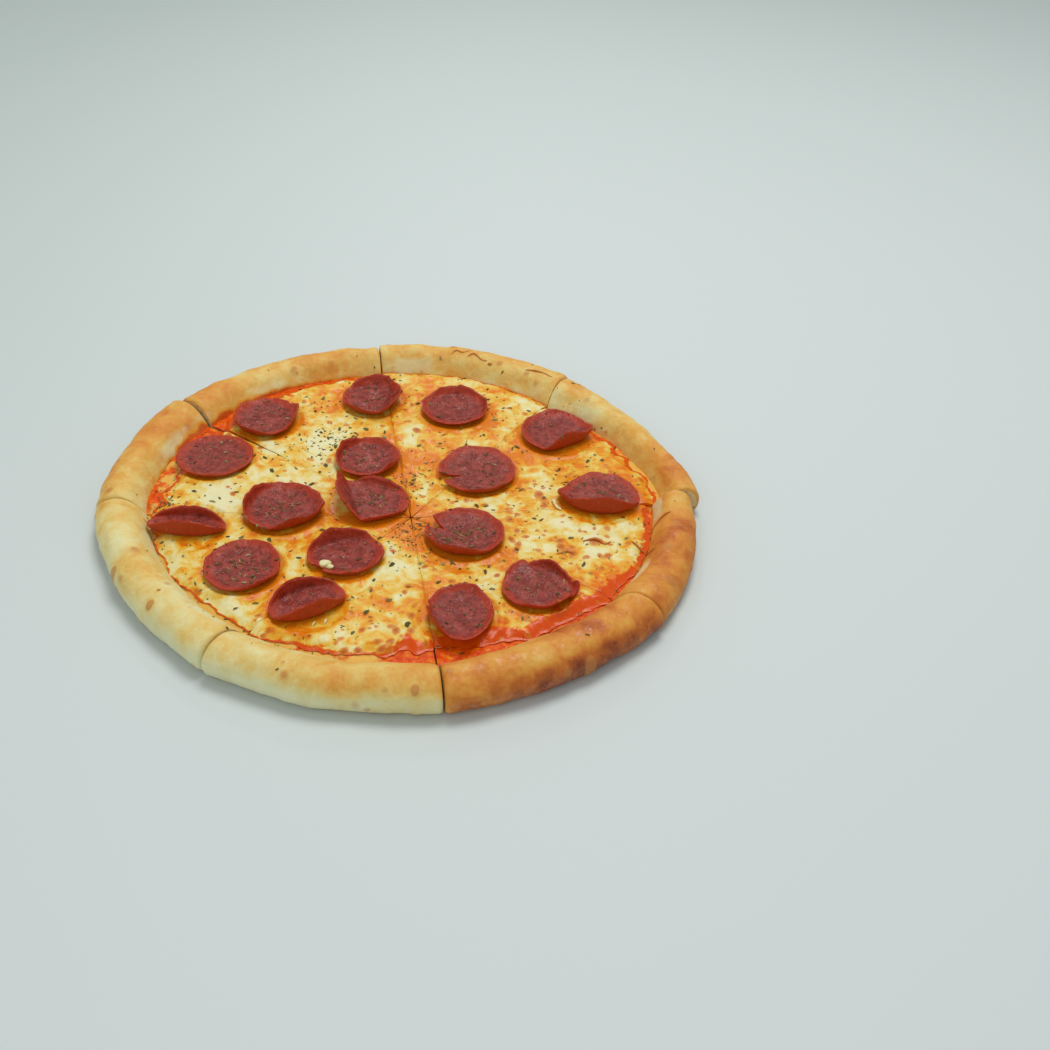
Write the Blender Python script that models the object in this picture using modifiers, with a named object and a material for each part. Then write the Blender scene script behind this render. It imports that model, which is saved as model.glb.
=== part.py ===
"""A pepperoni pizza cut into eight slices that keep the shape of the whole.

Every slice is a wedge of dough with a raised rim, a layer of sauce and a layer of cheese with
dried herb flakes. Rounds of pepperoni lie on the cheese, whole across the cuts.
Sizes are in millimetres and become metres where a mesh is written.
The origin is the middle of the underside, +Z is up and -Y is the side nearest the eater.
"""
import math
import random

import bmesh
import bpy
from mathutils import Vector, noise
from mathutils.bvhtree import BVHTree

MM = 0.001
CLEARANCE = 0.3
MERGE = 0.0001
ABOVE_ALL = 0.1

# The cuts, as directions in degrees from the point where they meet
CUT_CENTRE = (6.5, -17.8)
CUT_ANGLES = (10.3, 60.0, 102.6, 146.3, 181.6, 234.2, 282.0, 331.6)
CUT_GAPS_AT_RIM = (0.8, 0.8, 0.8, 2.2, 1.0, 1.0, 0.8, 1.0)
CUT_GAP = 0.6

# Each slice's rim at its start, middle and end, counter-clockwise from the cut on the right:
# outer radius, width and crest of the rim, and how much sauce stays bare inside it
SLICES = (
    dict(radius=(155.5, 147.5, 149.0), width=(20, 20, 27), crest=(17, 17, 18), bare=(3, 4, 2)),
    dict(radius=(150.5, 152.0, 153.0), width=(27, 25, 22), crest=(18, 18, 18), bare=(2, 1, 3)),
    dict(radius=(150.0, 154.5, 156.0), width=(22, 24, 27), crest=(18, 17, 17), bare=(3, 4, 8)),
    dict(radius=(159.5, 155.0, 153.0), width=(30, 26, 25), crest=(17, 17, 17), bare=(8, 9, 6)),
    dict(radius=(153.0, 146.5, 147.0), width=(26, 25, 26), crest=(17, 18, 18), bare=(4, 3, 4)),
    dict(radius=(148.0, 148.0, 150.5), width=(26, 26, 25), crest=(18, 18, 18), bare=(3, 6, 13)),
    dict(radius=(151.0, 152.2, 155.5), width=(26, 27, 27), crest=(18, 19, 18), bare=(14, 5, 3)),
    dict(radius=(154.5, 153.0, 150.5), width=(27, 24, 22), crest=(17, 17, 17), bare=(3, 1, 3)),
)

# The rim's section from its inner foot over the crest to where it meets the table:
# inset from the outer edge as a share of the width, height as a share of the crest
RIM_SECTION = (
    (1.00, 0.30), (0.90, 0.56), (0.72, 0.86), (0.48, 1.00), (0.22, 0.91),
    (0.05, 0.68), (0.00, 0.43), (0.05, 0.17), (0.20, 0.00),
)
RIM_POINTS = 12
RIM_END_ROUNDING = 2.2
RIM_PUFF = 1.1
RIM_WAVE = 34.0
RIM_PUFFS_PER_SLICE = 4
CREST_DROP = 0.8
RIM_END_PLACES = (0.0, 0.8, 3.0, 7.5)

DOUGH_TOP = 5.0
SAUCE_THICKNESS = 1.0
CHEESE_THICKNESS = 2.4
CHEESE_RELIEF = 0.5
CHEESE_EDGE = 0.9
CHEESE_TAPER = 7.0
CHEESE_WAVE = 16.0
CHEESE_RIPPLE = 8.0
CHEESE_EDGE_WAVE = 11.0
CHEESE_EDGE_WANDER = 0.8
LEAST_BARE = 0.8
CHEESE_SHARES = (0.0, 0.17, 0.32, 0.46, 0.59, 0.71, 0.82, 0.91, 0.97, 1.0)
BED_MARGIN = 1.0
BED_SLOPE = 7.0
SAUCE_BEVEL = 1.2
SAUCE_EDGE_SHARE = 0.45
SAUCE_UNDERCUT = 0.5
CHEESE_UNDERCUT = 0.4
SHARP_ANGLE = 40.0
PEPPERONI_SHARP_ANGLE = 50.0
OUTLINE_TRIES = 8

# The rounds of pepperoni: place, diameter and how far the edge cups up
# A lip curls up along a part of the edge: direction and half the spread in degrees, greatest
# width in radii and angle. A fold has a straight crease: direction, distance in radii, angle.
# An oval is narrower in a direction, a ridge rises to a line and steps down past it, and a
# point draws the edge out: direction, half the spread and length in radii
PEPPERONI = (
    dict(at=(-26.5, 91.0), across=37, cup=3.2, oval=(0, 0.93), folds=((-6, 0.42, 24),),
         lips=((238, 55, 0.20, 50), (100, 60, 0.28, 40)), points=((-64, 26, 0.10),)),
    dict(at=(-82.7, 65.1), across=40, cup=2.8, oval=(0, 0.88),
         lips=((240, 58, 0.24, 48), (-12, 48, 0.20, 45)), points=((28, 24, 0.08),)),
    dict(at=(21.2, 84.5), across=38, cup=3.2, lips=((2, 50, 0.20, 55), (100, 70, 0.25, 35))),
    dict(at=(78.6, 63.5), across=41, cup=2.8, cells=9, oval=(0, 0.92), lips=((-56, 60, 0.42, 88),),
         points=((8, 26, 0.10),)),
    dict(at=(-102.0, 25.8), across=40, cup=1.8, lips=((-95, 75, 0.12, 50),)),
    dict(at=(-21.6, 29.6), across=35, cup=3.2, lips=((165, 75, 0.28, 62), (-35, 45, 0.16, 50))),
    dict(at=(37.5, 22.8), across=43, cup=2.4, oval=(0, 0.94), lips=((-70, 60, 0.14, 50),)),
    dict(at=(102.6, 4.0), across=42, cup=2.0, cells=9, oval=(0, 0.95), lips=((-92, 88, 0.48, 96),),
         points=((184, 24, 0.14),)),
    dict(at=(-16.0, -8.2), across=41, cup=1.6, cells=9, oval=(90, 0.90), folds=((198, 0.30, 50),),
         lips=((72, 50, 0.24, 55), (-60, 40, 0.22, 50)), points=((140, 26, 0.16),)),
    dict(at=(-57.9, -17.8), across=40, cup=3.4, lips=((-55, 55, 0.26, 58), (165, 60, 0.24, 58)),
         points=((-4, 22, 0.08),)),
    dict(at=(-101.9, -35.0), across=39, cup=1.2, cells=9, oval=(-92, 0.58),
         lips=((-92, 88, 0.50, 96), (88, 84, 0.34, 60))),
    dict(at=(34.5, -32.1), across=39, cup=3.2, cells=9, lips=((-104, 74, 0.24, 70),)),
    dict(at=(-21.3, -52.6), across=37, cup=2.6, cells=9, oval=(100, 0.86),
         lips=((122, 80, 0.34, 62), (-60, 50, 0.14, 45))),
    dict(at=(-68.2, -64.2), across=39, cup=2.4, oval=(0, 0.91), lips=((-62, 70, 0.14, 55),)),
    dict(at=(71.6, -70.0), across=34, cup=2.2, cells=9, ridge=(44, 0.26, 3.2),
         lips=((-84, 60, 0.16, 55), (54, 66, 0.28, 72)), points=((-4, 20, 0.14),)),
    dict(at=(-33.4, -88.7), across=36, cup=1.4, cells=9, oval=(-57, 0.84),
         lips=((-59, 84, 0.52, 98), (123, 80, 0.42, 70))),
    dict(at=(36.0, -91.4), across=37, cup=3.0, oval=(0, 0.85), lips=((212, 60, 0.32, 72),),
         points=((-72, 24, 0.10),)),
)
PEPPERONI_THICKNESS = 1.3
PEPPERONI_CELLS = 7
FOLD_RADIUS = 2.6
LIP_EASE = 1.6
CUP_POWER = 2.0
LIP_POWER = 7.0
LIP_SHARE = 0.65
CUP_UNEVENNESS = 0.6
CUP_WAVES = 1.6
EDGE_WAVE = 0.6
EDGE_WAVES = 2.0
RIDGE_STEP = 3.0

# Herb flakes large enough to see from a step away
FLAKES_PER_SLICE = 6
FLAKE_LENGTH = (3.0, 4.2)
FLAKE_ASPECT = 0.5
FLAKE_HEIGHT = 1.1
FLAKE_SPACING = 12.0
FLAKE_CUT_DISTANCE = 4.5
FLAKE_TILT = 0.2
FLAKE_LIFT = 0.1
FLAKE_SEED = 11
FLAKE_ASPECT_RANGE = (0.85, 1.2)
FLAKE_SIDEWAYS = (0.08, 0.92)
FLAKE_OUTWARDS = (0.06, 0.84)
LEAST_OPEN = 0.7

# Patterns of the slow uneven swelling, one for each use
OUTLINE_PATTERN = 3.0
CREST_PATTERN = 9.0
CHEESE_EDGE_PATTERN = 7.0
SWELL_PATTERN = 0.0
RIPPLE_PATTERN = 5.0
RIPPLE_SHARE = 0.6

# Steps across a slice between its rounded ends
DOUGH_STEPS = 7
SAUCE_STEPS = 3
CHEESE_STEPS = 5

SAUCE_BOTTOM = DOUGH_TOP + CLEARANCE
SAUCE_TOP = SAUCE_BOTTOM + SAUCE_THICKNESS
CHEESE_BOTTOM = SAUCE_TOP + CLEARANCE
CHEESE_TOP = CHEESE_BOTTOM + CHEESE_THICKNESS


def clear_scene():
    """Start from an empty scene."""
    for thing in list(bpy.data.objects):
        bpy.data.objects.remove(thing)


def make_material(name, colour, roughness):
    """A plain Principled surface."""
    material = bpy.data.materials.new(name)
    material.use_nodes = True
    shader = material.node_tree.nodes["Principled BSDF"]
    shader.inputs["Base Color"].default_value = (*colour, 1.0)
    shader.inputs["Roughness"].default_value = roughness
    shader.inputs["Metallic"].default_value = 0.0
    return material


def through(values, u):
    """A smooth value from those at the start, middle and end."""
    start, middle, end = values
    return start * (1 - u) * (1 - 2 * u) + middle * 4 * u * (1 - u) + end * u * (2 * u - 1)


def smooth(x):
    """Ease from 0 to 1."""
    x = min(max(x, 0.0), 1.0)
    return x * x * (3 - 2 * x)


def rounding(distance, radius):
    """How far a rounded end drops at a distance from the end."""
    short = max(radius - distance, 0.0)
    return radius - math.sqrt(radius * radius - short * short)


def spline(points, position):
    """A point on the smooth curve through a section's points."""
    last = len(points) - 1
    i = min(int(position), last - 1)
    t = position - i
    a, b, c, d = (points[min(max(i + j, 0), last)] for j in (-1, 0, 1, 2))
    return tuple(
        0.5 * (2 * q + (r - p) * t + (2 * p - 5 * q + 4 * r - s) * t * t
               + (3 * q - p - 3 * r + s) * t ** 3)
        for p, q, r, s in zip(a, b, c, d)
    )


class Wedge:
    """The plan of one slice: its tip, its two sides and its rim."""

    def __init__(self, index):
        following = (index + 1) % len(CUT_ANGLES)
        first = math.radians(CUT_ANGLES[index])
        second = math.radians(CUT_ANGLES[following])
        if second < first:
            second += math.tau
        middle = (first + second) / 2
        inset = CUT_GAP / 2 / math.sin((second - first) / 2)
        self.shape = SLICES[index]
        self.index = index
        self.tip = Vector(CUT_CENTRE) + inset * Vector((math.cos(middle), math.sin(middle)))
        self.start = first + self.opening(CUT_GAPS_AT_RIM[index])
        self.end = second - self.opening(CUT_GAPS_AT_RIM[following])

    def opening(self, gap):
        """The angle by which a side turns away from its cut to open it at the rim."""
        return (gap - CUT_GAP) / 2 / self.shape["radius"][1]

    def direction(self, u):
        angle = self.start + (self.end - self.start) * u
        return Vector((math.cos(angle), math.sin(angle)))

    def outline(self, u):
        """Distance from the tip to the outer edge before the rim's ends are rounded."""
        ray = self.direction(u)
        reach = self.shape["radius"][1]
        for _ in range(OUTLINE_TRIES):
            point = self.tip + ray * reach
            reach += through(self.shape["radius"], u) - point.length
        point = self.tip + ray * reach
        place = Vector((*(point / RIM_WAVE), OUTLINE_PATTERN))
        return reach + RIM_PUFF * noise.noise(place)

    def foot(self, u):
        """Distance from the tip to the inner foot of the rim."""
        return self.outline(u) - through(self.shape["width"], u)

    def end_drop(self, u):
        """How far the rim rounds off next to the cuts."""
        sweep = (self.end - self.start) * self.outline(u)
        return rounding(sweep * min(u, 1 - u), RIM_END_ROUNDING)

    def cheese_edge(self, u):
        """Distance from the tip to the edge of the cheese, which wanders."""
        bare = through(self.shape["bare"], u)
        point = self.tip + self.direction(u) * self.foot(u)
        wander = noise.noise(Vector((*(point / CHEESE_EDGE_WAVE), CHEESE_EDGE_PATTERN)))
        return self.foot(u) - max(bare * (1 + CHEESE_EDGE_WANDER * wander), LEAST_BARE)

    def fractions(self, inner_steps):
        """Places across the slice, closer together where the rim's ends are rounded."""
        sweep = (self.end - self.start) * self.shape["radius"][1]
        ends = [distance / sweep for distance in RIM_END_PLACES]
        inner = [ends[-1] + (1 - 2 * ends[-1]) * i / inner_steps for i in range(1, inner_steps)]
        return ends + inner + [1 - u for u in reversed(ends)]


def bed(x, y):
    """1 on open cheese and 0 under a round of pepperoni, where the cheese lies flat."""
    openness = 1.0
    for item in PEPPERONI:
        away = (Vector((x, y)) - Vector(item["at"])).length - item["across"] / 2
        openness = min(openness, smooth((away + BED_MARGIN) / BED_SLOPE))
    return openness


def cheese_height(x, y):
    """The top of the melted cheese."""
    swell = noise.noise(Vector((x / CHEESE_WAVE, y / CHEESE_WAVE, SWELL_PATTERN)))
    ripple = noise.noise(Vector((x / CHEESE_RIPPLE, y / CHEESE_RIPPLE, RIPPLE_PATTERN)))
    return CHEESE_TOP + CHEESE_RELIEF * (swell + RIPPLE_SHARE * ripple) * bed(x, y)


def dough_section(wedge, u):
    """Dough floor, rim and underside, from the top of the tip round to its bottom."""
    drop = wedge.end_drop(u)
    outer = wedge.outline(u) - drop
    width = outer - wedge.foot(u)
    puff = RIM_PUFF * noise.noise(Vector((wedge.index, u * RIM_PUFFS_PER_SLICE, CREST_PATTERN)))
    crest = through(wedge.shape["crest"], u) + puff - CREST_DROP * drop
    section = [(0.0, DOUGH_TOP)]
    for i in range(RIM_POINTS + 1):
        inset, height = spline(RIM_SECTION, i * (len(RIM_SECTION) - 1) / RIM_POINTS)
        section.append((outer - inset * width, max(height * crest, 0.0)))
    section[1] = (section[1][0], DOUGH_TOP)
    section.append((0.0, 0.0))
    return section


def sauce_section(wedge, u):
    """A thin layer on the dough floor that ends short of the rim's foot."""
    edge = wedge.foot(u) - 2 * CLEARANCE
    return [
        (0.0, SAUCE_TOP),
        (edge * 0.5, SAUCE_TOP),
        (edge - SAUCE_BEVEL, SAUCE_TOP),
        (edge, SAUCE_BOTTOM + SAUCE_EDGE_SHARE * SAUCE_THICKNESS),
        (edge - SAUCE_UNDERCUT, SAUCE_BOTTOM),
        (0.0, SAUCE_BOTTOM),
    ]


def cheese_section(wedge, u):
    """Uneven melted cheese on the sauce, thinner towards its edge."""
    edge = wedge.cheese_edge(u)
    section = []
    for share in CHEESE_SHARES:
        reach = edge * share
        x, y = wedge.tip + wedge.direction(u) * reach
        thin = 1 - smooth((edge - reach) / CHEESE_TAPER)
        full = cheese_height(x, y) - CHEESE_BOTTOM
        section.append((reach, CHEESE_BOTTOM + full * (1 - thin) + CHEESE_EDGE * thin))
    section.append((edge - CHEESE_UNDERCUT, CHEESE_BOTTOM))
    section.append((0.0, CHEESE_BOTTOM))
    return section


def finish(name, mesh_builder, material, collection, smooth_angle=SHARP_ANGLE):
    """Turn a bmesh in millimetres into a named object in metres."""
    bmesh.ops.remove_doubles(mesh_builder, verts=mesh_builder.verts, dist=MERGE / MM)
    bmesh.ops.triangulate(mesh_builder, faces=mesh_builder.faces)
    bmesh.ops.recalc_face_normals(mesh_builder, faces=mesh_builder.faces)
    bmesh.ops.scale(mesh_builder, vec=(MM, MM, MM), verts=mesh_builder.verts)
    mesh = bpy.data.meshes.new(name)
    mesh_builder.to_mesh(mesh)
    mesh_builder.free()
    mesh.materials.append(material)
    mesh.shade_smooth()
    mesh.set_sharp_from_angle(angle=math.radians(smooth_angle))
    thing = bpy.data.objects.new(name, mesh)
    collection.objects.link(thing)
    return thing


def loft(name, wedge, section, steps, material, collection):
    """A layer of one slice: unlike sections swept from one cut to the next."""
    builder = bmesh.new()
    rings = []
    for u in wedge.fractions(steps):
        ray = wedge.direction(u)
        ring = []
        for reach, height in section(wedge, u):
            x, y = wedge.tip + ray * reach
            ring.append(builder.verts.new((x, y, height)))
        rings.append(ring)
    for ring, following in zip(rings, rings[1:]):
        for i, corner in enumerate(ring):
            j = (i + 1) % len(ring)
            builder.faces.new((corner, following[i], following[j], ring[j]))
    builder.faces.new(list(reversed(rings[0])))
    builder.faces.new(rings[-1])
    return finish(name, builder, material, collection)


def ridge_height(x, y, radius, ridge):
    """A slow rise to a line across the round and a step down past it."""
    degrees, distance, height = ridge
    normal = Vector((math.cos(math.radians(degrees)), math.sin(math.radians(degrees))))
    beyond = Vector((x, y)).dot(normal) - distance * radius
    if beyond > 0:
        return height * (1 - smooth(beyond / RIDGE_STEP))
    return height * smooth(1 + beyond / radius)


def towards(degrees):
    """The direction of an angle in the plane."""
    return Vector((math.cos(math.radians(degrees)), math.sin(math.radians(degrees)), 0.0))


def share_of_spread(x, y, degrees, spread):
    """1 in a direction, falling to 0 at the ends of its spread."""
    aside = (math.degrees(math.atan2(y, x)) - degrees + 180) % 360 - 180
    return max(1 - (aside / spread) ** 2, 0.0)


def bent(beyond, turn):
    """Where a strip past a crease goes: how far it draws in, and how far it rises."""
    curl = min(beyond / FOLD_RADIUS, turn)
    straight = max(beyond - FOLD_RADIUS * turn, 0.0)
    drawn_in = beyond - FOLD_RADIUS * math.sin(curl) - straight * math.cos(turn)
    return drawn_in, FOLD_RADIUS * (1 - math.cos(curl)) + straight * math.sin(turn)


def folded(x, y, radius, item):
    """Where a point of a flat round goes when the round cups, folds and curls its lips."""
    reach = math.hypot(x, y)
    place = Vector((x, y)) * (CUP_WAVES / radius)
    uneven = noise.noise(Vector((*place, item["across"] + item["cup"])))
    outwards = reach / radius
    profile = (1 - LIP_SHARE) * outwards ** CUP_POWER + LIP_SHARE * outwards ** LIP_POWER
    lift = item["cup"] * profile * (1 + CUP_UNEVENNESS * uneven)
    if "ridge" in item:
        lift += ridge_height(x, y, radius, item["ridge"])
    moved = Vector((x, y, lift))
    for degrees, distance, angle in item.get("folds", ()):
        beyond = moved.dot(towards(degrees)) - distance * radius
        if beyond > 0:
            drawn_in, rise = bent(beyond, math.radians(angle))
            moved += Vector((0, 0, rise)) - towards(degrees) * drawn_in
    for degrees, spread, width, angle in item["lips"]:
        share = share_of_spread(x, y, degrees, spread)
        beyond = reach - radius * (1 - width * share)
        if share > 0 and beyond > 0:
            drawn_in, rise = bent(beyond, math.radians(angle) * min(LIP_EASE * share, 1.0))
            moved += Vector((0, 0, rise)) - Vector((x, y, 0)) * (drawn_in / reach)
    if "oval" in item:
        degrees, factor = item["oval"]
        across = towards(degrees)
        moved -= across * moved.dot(across) * (1 - factor)
    return moved


def edge_reach(angle, radius, item):
    """Distance from a round's middle to its uneven edge."""
    x, y = math.cos(angle), math.sin(angle)
    wave = EDGE_WAVE * noise.noise(Vector((x * EDGE_WAVES, y * EDGE_WAVES, radius)))
    drawn = sum(length * share_of_spread(x, y, degrees, spread) ** 2
                for degrees, spread, length in item.get("points", ()))
    return radius * (1 + drawn) + wave


def make_pepperoni(name, item, material, collection):
    """One round: a square grid eased into a disc, folded, then given its thickness."""
    radius = item["across"] / 2
    facing = math.radians(item["lips"][0][0])
    builder = bmesh.new()
    cells = item.get("cells", PEPPERONI_CELLS)
    bmesh.ops.create_grid(builder, x_segments=cells, y_segments=cells, size=1.0)
    for vertex in builder.verts:
        a, b = vertex.co.x, vertex.co.y
        flat = Vector((a * math.sqrt(1 - b * b / 2), b * math.sqrt(1 - a * a / 2)))
        angle = math.atan2(flat.y, flat.x) + facing
        reach = flat.length * edge_reach(angle, radius, item)
        vertex.co = folded(math.cos(angle) * reach, math.sin(angle) * reach, radius, item)
    thing = finish(name, builder, material, collection, PEPPERONI_SHARP_ANGLE)
    skin = thing.modifiers.new("thickness", "SOLIDIFY")
    skin.thickness = PEPPERONI_THICKNESS * MM
    skin.offset = 0.0
    apply_modifiers(thing)
    return thing


def apply_modifiers(thing):
    """Keep the evaluated mesh and drop the modifiers."""
    bpy.context.view_layer.update()
    evaluated = thing.evaluated_get(bpy.context.evaluated_depsgraph_get())
    mesh = bpy.data.meshes.new_from_object(evaluated)
    mesh.name = thing.name
    thing.modifiers.clear()
    thing.data = mesh


def tree_of(thing):
    """The thing's triangles in the pizza's frame, ready for measuring."""
    corners = [vertex.co + thing.location for vertex in thing.data.vertices]
    faces = [tuple(polygon.vertices) for polygon in thing.data.polygons]
    return corners, BVHTree.FromPolygons(corners, faces)


def settle(round_piece, ground):
    """Lower a round until it stands a hair above the cheese."""
    high = Vector((0, 0, ABOVE_ALL))
    corners, tree = tree_of(round_piece)
    drops = []
    for _, surface in ground:
        for corner in corners:
            hit = surface.ray_cast(corner + high, Vector((0, 0, -1)))
            if hit[0]:
                drops.append(corner.z - hit[0].z)
    reach = max((corner - round_piece.location).xy.length for corner in corners)
    for spots, _ in ground:
        for spot in spots:
            if (spot - round_piece.location).xy.length < reach:
                hit = tree.ray_cast(spot - high, Vector((0, 0, 1)))
                if hit[0]:
                    drops.append(hit[0].z - spot.z)
    round_piece.location.z -= min(drops) - CLEARANCE * MM


def flake_places(wedge, chance):
    """Places for the large flakes of one slice, clear of the pepperoni and of each other."""
    places = []
    while len(places) < FLAKES_PER_SLICE:
        u = chance.uniform(*FLAKE_SIDEWAYS)
        reach = wedge.cheese_edge(u) * math.sqrt(chance.uniform(*FLAKE_OUTWARDS))
        spot = wedge.tip + wedge.direction(u) * reach
        side = reach * (wedge.end - wedge.start) * min(u, 1 - u)
        crowded = any((spot - other).length < FLAKE_SPACING for other in places)
        covered = bed(spot.x, spot.y) < LEAST_OPEN
        if side > FLAKE_CUT_DISTANCE and not crowded and not covered:
            places.append(spot)
    return places


def add_flakes(cheese, surface, wedge, chance):
    """Fuse the large herb flakes to the cheese of one slice, each laid on its surface."""
    gathered = bpy.data.collections.new("flakes")
    bpy.context.scene.collection.children.link(gathered)
    for spot in flake_places(wedge, chance):
        above = Vector((spot.x * MM, spot.y * MM, ABOVE_ALL))
        touched = surface.ray_cast(above, Vector((0, 0, -1)))[0]
        length = chance.uniform(*FLAKE_LENGTH)
        breadth = length * FLAKE_ASPECT * chance.uniform(*FLAKE_ASPECT_RANGE)
        builder = bmesh.new()
        bmesh.ops.create_icosphere(builder, subdivisions=1, radius=0.5)
        size = (length, breadth, FLAKE_HEIGHT)
        bmesh.ops.scale(builder, vec=size, verts=builder.verts)
        flake = finish("flake", builder, cheese.data.materials[0], gathered)
        flake.rotation_euler = (0.0, chance.uniform(-FLAKE_TILT, FLAKE_TILT), chance.uniform(0.0, math.pi))
        flake.location = touched + Vector((0, 0, FLAKE_LIFT * MM))
    union = cheese.modifiers.new("flakes", "BOOLEAN")
    union.operation = "UNION"
    union.operand_type = "COLLECTION"
    union.collection = gathered
    union.solver = "MANIFOLD"
    apply_modifiers(cheese)
    for flake in list(gathered.objects):
        bpy.data.objects.remove(flake)
    bpy.data.collections.remove(gathered)


def main():
    clear_scene()
    pizza = bpy.data.collections.new("pepperoni_pizza")
    bpy.context.scene.collection.children.link(pizza)
    dough = make_material("dough", (0.72, 0.43, 0.17), 0.62)
    sauce = make_material("sauce", (0.62, 0.12, 0.03), 0.35)
    cheese = make_material("cheese", (0.86, 0.68, 0.34), 0.40)
    meat = make_material("pepperoni", (0.33, 0.05, 0.04), 0.42)
    chance = random.Random(FLAKE_SEED)

    pieces = []
    ground = []
    for index in range(len(SLICES)):
        wedge = Wedge(index)
        number = index + 1
        pieces.append(loft(f"crust_{number}", wedge, dough_section, DOUGH_STEPS, dough, pizza))
        pieces.append(loft(f"sauce_{number}", wedge, sauce_section, SAUCE_STEPS, sauce, pizza))
        layer = loft(f"cheese_{number}", wedge, cheese_section, CHEESE_STEPS, cheese, pizza)
        ground.append(tree_of(layer))
        add_flakes(layer, ground[-1][1], wedge, chance)
        pieces.append(layer)

    for number, item in enumerate(PEPPERONI, start=1):
        piece = make_pepperoni(f"pepperoni_{number}", item, meat, pizza)
        x, y = item["at"]
        piece.location = Vector((x, y, CHEESE_TOP + 2 * PEPPERONI_THICKNESS)) * MM
        settle(piece, ground)
        pieces.append(piece)

    middle = bpy.data.objects.new("pizza_middle", None)
    pizza.objects.link(middle)
    corners = [vertex.co for piece in pieces if "crust" in piece.name for vertex in piece.data.vertices]
    middle.location.x = -(min(c.x for c in corners) + max(c.x for c in corners)) / 2
    middle.location.y = -(min(c.y for c in corners) + max(c.y for c in corners)) / 2
    for piece in pieces:
        piece.parent = middle


main()
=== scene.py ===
# %% [markdown]
# # A pepperoni pizza cut into eight slices
#
# The pizza lies flat and its slices still keep the shape of the whole. It is built the way the
# cook built it: dough, sauce, cheese, pepperoni, herbs. Each layer of each slice is one mesh,
# swept from one cut to the next, because a slice is exactly that: unlike sections between two cuts.
# The packed solids give the size and the place of every piece, so they are loaded first.

# %% The frame and the tools
import math
import random
import time

import bmesh
import bpy
import numpy as np
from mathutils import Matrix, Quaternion, Vector, noise
from mathutils.bvhtree import BVHTree


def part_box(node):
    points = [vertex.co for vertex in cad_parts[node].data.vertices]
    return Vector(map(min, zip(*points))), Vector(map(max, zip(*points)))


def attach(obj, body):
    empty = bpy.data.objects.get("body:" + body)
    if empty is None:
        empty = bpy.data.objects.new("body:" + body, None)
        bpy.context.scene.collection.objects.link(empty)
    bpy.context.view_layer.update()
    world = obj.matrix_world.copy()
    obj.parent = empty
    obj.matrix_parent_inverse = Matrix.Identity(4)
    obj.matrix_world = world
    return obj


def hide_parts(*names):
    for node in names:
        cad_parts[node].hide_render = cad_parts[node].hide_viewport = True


started = time.time()
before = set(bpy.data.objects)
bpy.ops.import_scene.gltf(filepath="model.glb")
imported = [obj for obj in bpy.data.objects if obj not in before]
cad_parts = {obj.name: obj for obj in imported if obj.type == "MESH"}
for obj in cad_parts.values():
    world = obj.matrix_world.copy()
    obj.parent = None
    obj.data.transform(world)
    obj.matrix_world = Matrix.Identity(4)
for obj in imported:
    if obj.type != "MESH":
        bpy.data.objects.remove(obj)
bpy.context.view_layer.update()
print("nodes in the frame:", len(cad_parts))

# %% [markdown]
# ## Sizes
#
# All sizes are in millimetres and are those of the solids. They are repeated here, because a fine
# surface needs the same rules as the coarse one, only at more points. Angles are in degrees,
# counter-clockwise from the right. Three values in a row belong to a slice's start, middle and end.

# %% The cuts and the rim
MM = 0.001
CUT_CENTRE = (6.5, -17.8)
CUT_ANGLES = (10.3, 60.0, 102.6, 146.3, 181.6, 234.2, 282.0, 331.6)
CUT_GAPS_AT_RIM = (0.8, 0.8, 0.8, 2.2, 1.0, 1.0, 0.8, 1.0)
CUT_GAP = 0.6
SLICES = (
    dict(radius=(155.5, 147.5, 149.0), width=(20, 20, 27), crest=(17, 17, 18), bare=(3, 4, 2)),
    dict(radius=(150.5, 152.0, 153.0), width=(27, 25, 22), crest=(18, 18, 18), bare=(2, 1, 3)),
    dict(radius=(150.0, 154.5, 156.0), width=(22, 24, 27), crest=(18, 17, 17), bare=(3, 4, 8)),
    dict(radius=(159.5, 155.0, 153.0), width=(30, 26, 25), crest=(17, 17, 17), bare=(8, 9, 6)),
    dict(radius=(153.0, 146.5, 147.0), width=(26, 25, 26), crest=(17, 18, 18), bare=(4, 3, 4)),
    dict(radius=(148.0, 148.0, 150.5), width=(26, 26, 25), crest=(18, 18, 18), bare=(3, 6, 13)),
    dict(radius=(151.0, 152.2, 155.5), width=(26, 27, 27), crest=(18, 19, 18), bare=(14, 5, 3)),
    dict(radius=(154.5, 153.0, 150.5), width=(27, 24, 22), crest=(17, 17, 17), bare=(3, 1, 3)),
)
RIM_SECTION = (
    (1.00, 0.30), (0.90, 0.56), (0.72, 0.86), (0.48, 1.00), (0.22, 0.91),
    (0.05, 0.68), (0.00, 0.43), (0.05, 0.17), (0.20, 0.00),
)
RIM_END_ROUNDING = 2.2
RIM_PUFF = 1.1
RIM_WAVE = 34.0
RIM_PUFFS_PER_SLICE = 4
CREST_DROP = 0.8
RIM_END_PLACES = (0.0, 0.8, 3.0, 7.5)
print("slices:", len(SLICES))

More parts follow.
